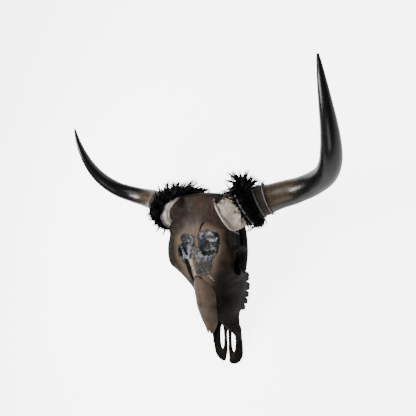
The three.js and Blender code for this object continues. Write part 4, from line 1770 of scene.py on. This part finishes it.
@dataclass
class Skull:
    """The bones of the skull as one surface worn smooth, with their seams.

    Args:
        line: the line of the horns.
        voxel: the size of the surface's quads.
        room: how far the bone keeps off the hide and the fur.
        sections: the long body's rows, as a place along it and the named heights and widths of its outline.
        cavity: the nose hollow's rows, in the same way.
        roots: where each side's horn root starts, its radius there, the distance where it ends and its
            radius there.
    """

    line: HornLine
    voxel: float = 1.7
    room: float = 3.0
    sections: tuple = (
        (48, 14, 30, 16, 40, 14, 45, 10, 42, 5, 7),
        (62, 22, 32, 28, 41, 22, 44.5, 14, 41, 8, 10),
        (80, 40, 33, 47, 40, 34, 43.5, 21, 40, 12, 13),
        (95, 58, 32, 66, 39, 46, 42, 27, 38, 16, 17),
        (110, 80, 30, 87, 38, 62, 41, 35, 36, 18, 21),
        (128, 98, 29, 104, 41, 80, 43, 48, 36, 20, 25),
        (150, 118, 31, 113, 46, 92, 54, 56, 44, 20, 27),
        (180, 134, 33, 124, 56, 100, 64, 60, 48, 20, 28),
        (205, 149, 46, 137, 78, 113, 76, 70, 48, 22, 29),
        (230, 160, 68, 153, 98, 136, 82, 84, 48, 26, 31),
        (255, 169, 82, 167, 104, 156, 74, 98, 50, 34, 36),
        (280, 178, 83, 175, 101, 164, 70, 106, 62, 50, 45),
        (310, 186, 78, 184, 90, 174, 72, 118, 66, 62, 52),
        (345, 193, 77, 190, 91, 181, 74, 122, 64, 64, 54),
        (375, 198, 75, 196, 90, 182, 82, 120, 58, 74, 60),
        (395, 199, 72, 196, 88, 179, 84, 114, 58, 78, 62),
        (406, 197, 66, 191, 76, 167, 72, 110, 44, 82, 72),
        (413, 186, 50, 178, 56, 153, 48, 112, 30, 90, 88),
    )
    cavity: tuple = (
        (40, -12, 29, 36, 28, 35, 80),
        (62, -10, 30, 37, 36, 35, 100),
        (80, -4, 30, 36, 44, 33, 110),
        (96, 22, 28, 30, 54, 21, 120),
        (122, 27, 28, 30, 64, 17, 134),
        (145, 29, 28, 33, 72, 17, 138),
        (172, 32, 25, 33, 84, 17, 138),
        (194, 42, 15, 25, 92, 16, 122),
        (206, 62, 7, 12, 92, 9, 108),
    )
    roots: dict = field(default_factory=lambda: {
        Side.LEFT: ((50, 350, 154), 44.0, -4.0, 42.5),
        Side.RIGHT: ((14, 354, 156), 40.0, -34.0, 42.0),
    })

    def _section(self, y: float, half: list, count: int) -> Array:
        """A smooth closed section through a half outline."""
        right = [(x, y, z) for x, z in half]
        left = [(-x, y, z) for x, z in reversed(half[1:-1])]
        return spline(np.array(right + left, float), np.arange(count) / count, closed=True)

    def body(self) -> Skin:
        """The long body from the cheeks to the back of the head."""
        rows = blend_rows(self.sections, 5)
        return loft(np.array([
            self._section(y, [(0, crown), (rx, rz), (sx, sz), (fx, fz), (mx, mz), (0, keel)], 120)
            for y, crown, rx, rz, sx, sz, fx, fz, mx, mz, keel in rows
        ]))

    def nose_hollow(self) -> Skin:
        """The hollow of the nose."""
        rows = blend_rows(self.cavity, 4)
        return loft(np.array([
            self._section(y, [(0, floor), (low, floor + 1), (mx, mz), (tx, tz), (0, tz + 5)], 64)
            for y, floor, low, mx, mz, tx, tz in rows
        ]))

    def front_plate(self, side: Side) -> Skin:
        """The flat front plate with its long slot, as a ring of walls round the slot."""
        outline = spline(np.array([
            (5.5, 4), (6, -3), (12, -6), (22, -5), (32, 0), (41, 10), (46, 24), (46.5, 40),
            (44.5, 60), (42.5, 80), (41, 94), (20, 100), (3, 96), (2.5, 60), (2, 24),
        ], float), np.arange(160) / 160, closed=True)
        centre = np.array([18.0, 56.0])
        slot_turn = np.arctan2(outline[:, 1] - centre[1], (outline[:, 0] - centre[0]) * 4.2)
        slot = np.stack([centre[0] + 6.2 * np.cos(slot_turn), centre[1] + 32 * np.sin(slot_turn)], -1)
        rows = []
        profile = ((0, 0.22), (0, 0.78), (0.25, 1), (0.7, 1), (1, 0.8), (1, 0.2), (0.7, 0), (0.25, 0))
        for inset, height in profile:
            flat = outline * (1 - inset) + slot * inset
            z = 8 * height + np.maximum(0, flat[:, 1] - 18) * 0.17
            rows.append(np.stack([flat[:, 0] * side.value, flat[:, 1], z], -1))
        return hoop(np.array(rows))

    def socket_rim(self, side: Side) -> Skin:
        """The soft rim round the eye socket."""
        turn = full_turn(64)
        lean = 0.29
        circle = np.stack([np.zeros(64), np.cos(turn), np.sin(turn)], -1) * 28.5
        turned = np.stack([circle[:, 2] * math.sin(lean), circle[:, 1], circle[:, 2] * math.cos(lean)], -1)
        return closed_tube((turned + [87, *SOCKET]) * side.mirror, 4.6, 14)

    def horn_root(self, side: Side) -> Skin:
        """The swelling of the brow that ends on the first band's face."""
        start, wide, begin, narrow = self.roots[side]
        centre, axis = self.line.band(begin - GAP, side)
        first = np.array(start, float) * side.mirror
        way = unit(np.array([1, 0.3, -0.05])) * side.mirror
        rows = []
        for t in np.linspace(0, 1, 12):
            radius = wide + (narrow - wide) * min(t / 0.6, 1.0)
            rows.append(ring(first + (centre - first) * t, unit(way * (1 - t) + axis * t), radius, 48))
        return loft(np.array(rows))

    def horn_core(self, side: Side) -> Skin:
        """The bone core inside the bands."""
        mirror = side.mirror
        point, way = self.line.at(self.line.begins)
        start = np.array([36, 358, 178.0])
        rows = [
            ring((start + (point - start) * t) * mirror, way * mirror, 15 + 16 * min(t / 0.8, 1.0), 32)
            for t in np.linspace(0, 1, 6)
        ]
        return loft(np.array(rows))

    def seat(self, side: Side) -> Skin:
        """The room that a nasal bone lies in."""
        return NasalBone(side).build(extra=0.55, lift=60.0)

    def spine_hole(self) -> Skin:
        """The round hole at the back."""
        turn = full_turn(40)
        flat = np.stack([np.cos(turn) * 17, np.zeros(40), 84 + np.sin(turn) * 15], -1)
        return loft(np.array([flat + [0, y, 0] for y in (364.0, 400.0, 450.0)]))

    def join(self) -> Solid:
        """Joins the bone's forms into one even surface, before what lies in it is cut out."""
        solid = Solid(self.body().to_object("skull_bone")).cut(self.nose_hollow())
        for side in Side:
            solid.add(self.front_plate(side))
            solid.add(bar([(43, 34, 9), (42, 60, 17), (39, 86, 44), (33, 108, 80)], [4, 5.5, 5.5, 3], side))
            arch = [(62, 210, 76), (70, 226, 80), (78, 243, 86), (84, 262, 92), (88, 288, 99), (87, 316, 105),
                    (82, 340, 107), (70, 362, 108)]
            solid.add(bar(arch, [12, 13, 12, 12, 13, 13, 12, 12], side, steps=40, squash=0.55))
            solid.add(self.socket_rim(side))
            solid.cut(egg((106, *SOCKET), (47, 27, 25.5), side))
            post = [(94, 284, 162), (95, 290, 145), (92, 292, 124), (88, 290, 100)]
            solid.add(bar(post, [8, 7, 6.5, 8], side))
            solid.add(egg((27, 396, 70), (15, 19, 20), side))
            point = [(50, 380, 88), (50, 382, 52), (46, 376, 22), (44, 371, 1)]
            solid.add(bar(point, [17, 12, 8, 5.5], side, squash=0.6))
            solid.add(egg((34, 340, 50), (10, 15, 22), side))
            solid.add(bar([(58, 356, 98), (88, 362, 100)], [11, 8], side, steps=6))
            solid.add(bar([(20, 252, 46), (21, 276, 40), (20, 298, 54)], [10, 13, 8], side, squash=0.22))
            solid.add(self.horn_root(side))
        for side in Side:
            solid.cut(egg((9, 268, 42), (8, 38, 15), side))
        return solid.cut(self.spine_hole()).even(self.voxel)

    def part(self, whole: Solid) -> dict[str, Solid]:
        """Cuts the seats and the bands' rooms out of the whole, and parts it into its bones.

        Args:
            whole: the whole skull.

        Returns:
            A solid for each bone, by the name of its node.
        """
        bones = {}
        for side in Side:
            whole.cut(self.seat(side))
            for room in self.rooms(side):
                whole.cut(room)
            whole.add(self.horn_core(side))
        cranium = whole.copy("cranium_bone")
        for side in Side:
            k = side.value
            near, far, cheek_near = k * GAP / 2, k * 400, k * 60
            front_room = slab(grown(FRONT_JAW_OUTLINE, GAP), -k * GAP, far)
            cheek_room = slab(grown(CHEEK_OUTLINE, GAP), cheek_near - k * GAP, far)
            jaw_room = slab(grown(JAW_OUTLINE, GAP), -k * GAP, far)
            word = side.word
            front = whole.copy(f"premaxilla_{word}_bone").keep(slab(FRONT_JAW_OUTLINE, near, far))
            cheek = whole.copy(f"cheekbone_{word}_bone").keep(slab(CHEEK_OUTLINE, cheek_near, far))
            jaw = whole.copy(f"maxilla_{word}_bone").keep(slab(JAW_OUTLINE, near, far))
            jaw.cut(front_room).cut(cheek_room)
            cranium.cut(front_room).cut(cheek_room).cut(jaw_room)
            bones.update({f"premaxilla_{word}": front, f"cheekbone_{word}": cheek, f"maxilla_{word}": jaw})
        bones["cranium"] = cranium
        remove(whole.thing)
        for solid in bones.values():
            solid.largest()
        return bones

    def rooms(self, side: Side) -> tuple[Skin, Skin]:
        """The rooms that the hide wrap and the fur need."""
        out = []
        for band, before in ((BANDS[side]["hide"], GAP), (BANDS[side]["fur"], 0.0)):
            made = Band(side, self.line, **band)
            places = np.linspace(made.begin - before, made.end + before, 12)
            turn = full_turn(72)
            rows = [made.surface(np.full(72, s), turn, self.room) for s in places]
            out.append(loft(np.array(rows)))
        return out[0], out[1]

    def relief(self, solid: Solid) -> None:
        """Softens the joins, draws the brow out smoothly to the bands, raises the crust and cuts the pits."""
        solid.soften(3, 0.5)
        points = solid.points()
        up = solid.normals()[:, 2]
        x, y, z = np.abs(points[:, 0]), points[:, 1], points[:, 2]
        brow = smoothstep(0.05, 0.35, up) * smoothstep(285, 325, y) * smoothstep(392, 384, y)
        brow *= smoothstep(125, 145, z) * smoothstep(98, 88, x)
        solid.soften(260, 0.5 * brow)
        off_socket = np.hypot(y - SOCKET[0], z - SOCKET[1])
        lid = smoothstep(0.0, 0.3, up) * smoothstep(58, 40, off_socket) * smoothstep(60, 72, x)
        solid.soften(25, 0.5 * lid)
        points, normals = solid.points(), solid.normals()
        noise = Noise(7)
        top = smoothstep(0.2, 0.6, normals[:, 2])
        crust, black, seams = (where(points) * top for where in (self._crust, self._black, self._seams))
        height = 0.9 * noise.layered(points, 42.0) + 0.22 * noise.layered(points, 9.0)
        cracks = np.exp(-((noise.cracks(points, 9.0) / 0.09) ** 2))
        height += crust * (0.9 + 1.3 * noise.layered(points, 8.0, 2) - 1.5 * cracks)
        height -= 1.3 * seams + 2.6 * black
        free = smoothstep(0.6, 4.0, points[:, 2])
        solid.place(points + normals * (height * free)[:, None])

    def marks(self, solid: Solid) -> None:
        """Stores where the bone is crusted, white, black, red or tan, where it is darkened by smoke and by
        painted shade, and where it is worn smooth and lit by a painted highlight.
        """
        points = solid.points()
        up = solid.normals()[:, 2]
        x, y, z = points.T
        top = smoothstep(0.2, 0.6, up)
        # painted shade from here on: down-facing bone, the right side away from the key light, the low
        # hollows, the front of the snout and the undersides at the back, over a faint even darkening
        low = smoothstep(0.55, -0.1, up)
        right = smoothstep(20, 62, x) * smoothstep(305, 190, y)
        hollow = smoothstep(20, 60, np.abs(x)) * smoothstep(150, 90, z)
        front = smoothstep(112, 84, y)
        back = smoothstep(0.5, 0.1, up) * smoothstep(230, 260, y)
        soot = np.clip(0.12 + 0.75 * low + 0.85 * right + 0.5 * hollow + 0.8 * front + 0.5 * back, 0, 1)
        # less painted shade on the lit, up-facing top of the skull
        soot *= 1 - 0.85 * smoothstep(0.6, 0.9, up) * smoothstep(215, 245, y) * smoothstep(85, 60, np.abs(x))
        # a darker patch near the right horn's root, in the same mark
        corner = np.exp(-(((x + 78) / 26) ** 2 + ((y - 345) / 34) ** 2))
        solid.mark("crust", self._crust(points) * top)
        solid.mark("chalk", self._chalk(points) * top)
        solid.mark("black", np.clip((self._black(points) + self._seams(points)) * top, 0, 1))
        solid.mark("soot", np.clip(soot + 0.55 * corner, 0, 1))
        solid.mark("brow", smoothstep(-50, 40, x) * smoothstep(210, 320, y) * top)
        # painted highlight: a lighter spot on the up-facing middle of the forehead, partly bone worn smooth
        glow = np.exp(-(((x + 2) / 30) ** 2 + ((y - 328) / 19) ** 2))
        solid.mark("rubbed", smoothstep(0.6, 0.9, up) * glow)
        ring_of_tan = inside_blob(points, [
            (-56, 306), (-30, 322), (-9, 330), (14, 334), (44, 336), (82, 326), (80, 290), (66, 262),
            (52, 226), (30, 200), (5, 200), (-20, 204), (-44, 216), (-62, 258)], 12.0)
        solid.mark("tan", np.clip(ring_of_tan * top, 0, 1))

    def _crust(self, points: Array) -> Array:
        """Where the grey crust lies."""
        right = inside_blob(points, [
            (12, 309), (20, 322), (34, 323), (44, 328), (56, 322), (74, 322), (76, 302), (68, 284), (64, 270),
            (44, 262), (30, 262), (16, 270), (14, 288)], 7.0)
        left = inside_blob(points, [
            (-42, 306), (-30, 316), (-10, 314), (6, 309), (0, 292), (-14, 282), (-33, 288)], 8.0)
        pits = inside_blob(points, [
            (-54, 284), (-36, 292), (-18, 284), (-12, 270), (-22, 250), (-38, 242), (-53, 260)], 7.0)
        middle = inside_blob(points, [(-14, 286), (4, 292), (16, 282), (18, 266), (6, 256), (-12, 258)], 9.0)
        lower = inside_blob(points, [
            (-4, 256), (14, 266), (40, 266), (56, 258), (50, 240), (34, 224), (14, 216), (-6, 224)], 9.0)
        return np.clip(right + 0.85 * left + 0.95 * pits + 0.62 * middle + 0.62 * lower, 0, 1)

    def _chalk(self, points: Array) -> Array:
        """Where it is chalk white."""
        bow = [(44, 306), (54, 303), (64, 303), (69, 309)]
        crescent = 0.62 * smoothstep(6.0, 1.5, near_line(points, bow))
        crescent += 0.40 * smoothstep(7.0, 2.0, near_line(points, [(26, 318), (40, 319), (54, 314)]))
        strip = 0.85 * inside_blob(points, [(-23, 258), (-9, 258), (-10, 244), (-20, 243)], 2.5)
        strip += 0.66 * inside_blob(points, [
            (-19, 244), (-10, 244), (-4, 230), (-6, 214), (-16, 212), (-18, 236)], 3.5)
        star = 0.62 * smoothstep(6.5, 1.5, near_line(points, [(33, 224), (40, 215)]))
        left = 0.30 * inside_blob(points, [(-30, 305), (-10, 307), (-8, 294), (-28, 293)], 5.0)
        middle = 0.42 * inside_blob(points, [(-14, 286), (4, 290), (12, 278), (8, 262), (-10, 260)], 6.0)
        rest = 0.08 * self._crust(points)
        return np.clip(crescent + strip + star + left + middle + rest, 0, 1)

    def _black(self, points: Array) -> Array:
        """Where it is pitted black."""
        slot = inside_blob(points, [
            (-36, 254), (-27, 256), (-20, 238), (-20, 220), (-17, 208), (-25, 203), (-31, 222)], 1.6)
        slit = smoothstep(2.6, 1.0, near_line(points, [(21, 325), (25, 334), (34, 342)]))
        pit = smoothstep(7.0, 3.0, near_line(points, [(-47, 278), (-44, 264)]))
        pit = np.maximum(pit, smoothstep(6.0, 2.5, near_line(points, [(-32, 280), (-26, 268)])))
        dark = 0.60 * smoothstep(11.0, 4.0, near_line(points, [(26, 272), (44, 274), (62, 280), (66, 290)]))
        dark += 0.45 * smoothstep(5.0, 1.5, near_line(points, [(2, 259), (22, 261), (50, 258)]))
        return np.clip(slot + slit + 0.8 * pit + dark, 0, 1)

    def _seams(self, points: Array) -> Array:
        """The thin seams between the bones."""
        lines = [
            [(-1, 216), (7, 217), (13, 208), (20, 200), (30, 196), (33, 190)],
            [(-1, 216), (-9, 216), (-14, 206), (-20, 199), (-30, 194), (-33, 188)],
        ]
        best = np.minimum.reduce([near_line(points, line) for line in lines])
        return smoothstep(1.9, 0.6, best)

    def dress(self, finishes: Finishes) -> None:
        """Builds the bones and gives them their finish."""
        whole = self.join()
        self.relief(whole)
        for node, solid in self.part(whole).items():
            self.marks(solid)
            smooth(solid.thing.data)
            solid.thing.data.set_sharp_from_angle(angle=SHARP_ANGLE)
            dress(solid.thing, finishes.bone, "bone", node)


@dataclass
class NasalBone:
    """One arched bone of the nose."""

    side: Side
    rows: tuple = (
        (79, 5, 91, 93), (84, 9, 90, 97), (94, 15, 91, 104), (108, 22, 95, 114), (124, 27, 103, 123),
        (142, 30, 113.5, 131.5), (166, 31.5, 121, 142), (186, 32, 128.5, 149), (200, 26, 139, 153),
        (210, 15, 149, 155.5), (216, 3, 156, 157.5),
    )
    thick: float = 6.5
    edge_thick: float = 3.5
    notch: float = 5.0

    def build(self, extra: float = 0.0, lift: float = 0.0, points_across: int = 14,
              per_step: int = 5) -> Skin:
        """The bone, or the room of its seat.

        Args:
            extra: how far the room goes beyond the bone, or nothing for the bone.
            lift: how far its top is raised, so that the room is open above.
            points_across: points across it.
            per_step: rings between two rows of the table.

        Returns:
            A closed skin.
        """
        table = blend_rows(self.rows, per_step)
        share = np.linspace(0, 1, points_across)
        rings = []
        for i, (y, half, edge_z, mid_z) in enumerate(table):
            end = -extra if i == 0 else extra if i == len(table) - 1 else 0.0
            split = self.notch * float(smoothstep(94, 79, y))
            inner = -1.0 if extra > 0 else GAP / 2 + min(split, half - 1.2)
            x = inner + (half + extra - inner) * share
            top = edge_z + (mid_z - edge_z) * (1 - share**2.2)
            below = top - (self.thick + (self.edge_thick - self.thick) * share + extra)
            over = np.stack([x * self.side.value, np.full_like(x, y + end), top + lift], -1)
            under = np.stack([x * self.side.value, np.full_like(x, y + end), below], -1)
            rings.append(np.vstack([over, under[::-1]]))
        return loft(np.array(rings))

    def dress(self, finishes: Finishes) -> Thing:
        """Builds the bone and gives it its finish."""
        wide = 30
        skin = self.build(points_across=wide, per_step=9)
        noise = Noise(3)
        top = np.tile(np.repeat([1.0, 0.0], wide), len(skin.points[:-2]) // (2 * wide))
        skin.points[:-2, 2] += 0.35 * noise.layered(skin.points[:-2], 14.0) * top
        x, y, _ = skin.points.T
        count = len(skin.points)
        # darker towards the outer edge of the left bone as painted shade on the side away from the key light,
        # with random darkening and a darker band across
        soot = 0.45 * smoothstep(16, 33, x) + 0.55 * noise.layered(skin.points, 24.0)
        soot = soot + 0.30 * np.exp(-(((y - 150) / 8) ** 2))
        skin.marks.update(dict.fromkeys(("crust", "chalk", "black"), np.zeros(count)))
        skin.marks.update({
            "soot": np.clip(soot, 0, 1),
            "brow": np.full(count, 0.3),
            # lighter towards the front: partly wear, partly a painted highlight where the nose is lit
            "rubbed": 0.5 + 0.4 * smoothstep(125, 100, y),
            "tan": 0.85 + 0.15 * smoothstep(135, 95, y),
        })
        node = f"nasal_{self.side.word}"
        return dress(skin.to_object(f"{node}_bone"), finishes.bone, "bone", node)


@dataclass
class ToothRow:
    """The cheek teeth of one side, each with two rounded lobes."""

    side: Side
    teeth: tuple = (
        (34, 134, 15, 14, 0), (38.5, 150, 16, 17, 0), (40, 167, 17, 19, 0), (40, 185, 22, 22, 0),
        (37.5, 208, 25, 22, 3), (34, 234, 26, 20, 12),
    )
    root: float = 26.0

    def _tooth(self, x: float, y: float, length: float, width: float, worn: float) -> Skin:
        """One tooth, ribbed on its outer side."""
        turn = full_turn(64)
        sideways, forward = (np.sign(v) * np.abs(v) ** 0.78 for v in (-np.sin(turn), np.cos(turn)))
        ribs = 0.97 - 0.07 * np.cos(math.tau * forward)
        rows = []
        for share in np.linspace(0, 1, 9):
            z = worn + 0.3 + share * self.root
            px = x + sideways * width / 2 * ribs * (1 - 0.2 * share)
            py = y + length / 2 + forward * length / 2 * (1.03 - 0.06 * share)
            rows.append(np.stack([px * self.side.value, py, np.full(64, z)], -1))
        return loft(np.array(rows))

    def dress(self, finishes: Finishes) -> Thing:
        """Builds the teeth and gives them their finish."""
        skin = reduce(Skin.joined, [self._tooth(*tooth) for tooth in self.teeth])
        return dress(skin.to_object(f"teeth_{self.side.word}"), finishes.tooth, "bone")


BANDS = {
    Side.LEFT: {
        "hide": {"begin": -4, "end": 43, "radius": (43.5, 41.5)},
        "fur": {"begin": 43, "end": 79, "radius": (41, 36.5), "bulge": 17},
        "cuff": {"begin": 79, "end": 106, "radius": (34.5, 33.5)},
    },
    Side.RIGHT: {
        "hide": {"begin": -34, "end": -3, "radius": (43, 42)},
        "fur": {"begin": -3, "end": 59, "radius": (42, 37), "bulge": 10},
        "cuff": {"begin": 59, "end": 100, "radius": (35.5, 33.5)},
    },
}
TIE_INSET = 3.2
SAG_TURN = 2.1
FRONT_JAW_OUTLINE = [(-40, -20), (76, -20), (80, 10), (98, 42), (113, 68), (124, 96), (126, 140), (-40, 140)]
CHEEK_OUTLINE = [
    (204, 70), (205, 97), (222, 112), (232, 126), (290, 126),
    (306, 118), (318, 110), (311, 84), (262, 68), (236, 60),
]
JAW_OUTLINE = [
    (20, -20), (286, -20), (282, 42), (262, 52), (238, 57), (206, 73),
    (207, 98), (197, 117), (178, 134), (172, 220), (20, 220),
]


# Studio


@dataclass(frozen=True)
class Studio:
    """The camera, the lights and the floor."""

    eye: tuple = (0.50863, -0.005688, 0.76626)
    right: tuple = (0.7800, 0.0850, -0.6199)
    up: tuple = (0.0131, 0.9883, 0.1521)
    back: tuple = (0.6256, -0.1267, 0.7698)
    lens_share: float = 0.79256

    def camera(self) -> Thing:
        """Makes the camera that the photo was fitted with."""
        data = bpy.data.cameras.new("camera")
        data.sensor_width = 36.0
        data.lens = 36.0 * self.lens_share
        data.clip_start = 0.01
        made = new_object("camera", data)
        turn = Matrix((self.right, self.up, self.back)).transposed().to_4x4()
        made.matrix_world = Matrix.Translation(Vector(self.eye)) @ turn
        bpy.context.scene.camera = made
        return made

    def _area(self, name: str, place: tuple, aim: tuple, size: float, power: float, colour: Colour) -> None:
        """One soft square light."""
        data = bpy.data.lights.new(name, "AREA")
        data.size = size
        data.energy = power
        data.color = colour
        made = new_object(name, data)
        made.location = place
        way = Vector(aim) - Vector(place)
        made.rotation_euler = way.to_track_quat("-Z", "Y").to_euler()

    def lights(self) -> None:
        """A soft key from the upper left of the picture, a wide fill and the room's own faint light."""
        self._area("key", (-0.75, -0.10, 1.25), (0, 0.02, 0.12), 0.6, 30.0, (1.0, 0.985, 0.96))
        self._area("top", (-0.35, 0.50, 1.5), (0, 0.05, 0.1), 1.0, 10.0, (0.95, 0.975, 1.0))
        self._area("front", (0.25, -1.3, 0.9), (0, -0.1, 0.1), 0.8, 6.0, (1.0, 1.0, 1.0))
        world = bpy.data.worlds.new("world")
        world.use_nodes = True
        background = world.node_tree.nodes["Background"]
        background.inputs["Color"].default_value = (0.95, 0.97, 1.0, 1.0)
        background.inputs["Strength"].default_value = 0.14
        bpy.context.scene.world = world

    def floor(self, finishes: Finishes) -> Thing:
        """A wide floor with a gently raised far edge."""
        half, cells = 6000, 40
        steps = np.linspace(-1, 1, cells + 1) * half
        x, y = np.meshgrid(steps, steps, indexing="ij")
        z = 400 * np.clip(np.hypot(x, y) / half - 0.6, 0, None) ** 2 - 0.02
        points = np.stack([x, y, z], -1).reshape(-1, 3)
        corner = (np.arange(cells)[:, None] * (cells + 1) + np.arange(cells)).ravel()
        quads = np.stack([corner, corner + cells + 1, corner + cells + 2, corner + 1], -1)
        made = Skin(points, quads.tolist()).to_object("floor")
        made.data.materials.append(finishes.floor)
        return made


def build_horn_side(side: Side, line: HornLine, finishes: Finishes, trees: dict) -> None:
    """Builds one horn, the bands round its base and their ties."""
    rows = BANDS[side]
    left = side is Side.LEFT
    Horn(side, line).dress(finishes)
    hide = Band(side, line, **rows["hide"])
    cuff = Band(side, line, **dict(rows["cuff"], begin=rows["cuff"]["begin"] + GAP))
    fur_sizes = dict(rows["fur"], begin=rows["fur"]["begin"] + GAP)
    fur_sizes["bulge"] *= SKIN_SWELL
    fur = Band(side, line, **fur_sizes)
    back = side.back
    wrap = HideWrap(hide, hair_turn=back * 0.55, hair_wide=0.9 if left else 0.4)
    wrap.dress(finishes, trees["locks"])
    pelt = Pelt(fur, trees["locks"])
    if left:
        pressed = fur.begin + 6.0
        FurBand(fur, pelt, pressed=pressed).dress(finishes)
    else:
        pressed = hide.end - TIE_INSET
        flap = (hide.begin + 1.0, math.radians(48), math.radians(150))
        FurBand(fur, pelt, flap=flap).dress(finishes)
    LeatherCuff(cuff).dress(finishes)
    hide_tie = (fur, pressed, 3.0) if left else (hide, pressed, 1.5)
    lean = 0.6 if left else 6.0
    ties = (
        ("skull", hide, hide.begin + 5.0, 1.0, (Turn(), Turn(2.0, 1.5, 2.0, 8.0)), None),
        ("hide", *hide_tie, (Turn(-0.8), Turn(0.8, lean, 2.2)), back * 0.4),
        ("fur", cuff, cuff.begin + TIE_INSET, 2.0, (Turn(-0.6), Turn(0.9, 0.8, 1.0)), None),
        ("cuff", cuff, cuff.end - TIE_INSET, 1.3, (Turn(-1.2, 1.4, 0.3), Turn(1.2, 1.6, 3.0)), back * 0.8),
    )
    for name, band, s, lift, turns, knot in ties:
        TwineTie(band, f"tie_{name}_{side.word}", s, lift, turns, knot).dress(finishes, trees["twine"])


def main() -> None:
    """Builds the scene."""
    logging.basicConfig(level=logging.INFO, format="%(name)s %(message)s")
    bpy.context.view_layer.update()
    finishes = Finishes()
    studio = Studio()
    studio.camera()
    studio.lights()
    studio.floor(finishes)
    line = HornLine()
    trees = {"locks": lock_tree(), "twine": twine_tree()}
    Skull(line).dress(finishes)
    for side in Side:
        NasalBone(side).dress(finishes)
        ToothRow(side).dress(finishes)
        build_horn_side(side, line, finishes, trees)


if __name__ == "__main__":
    main()
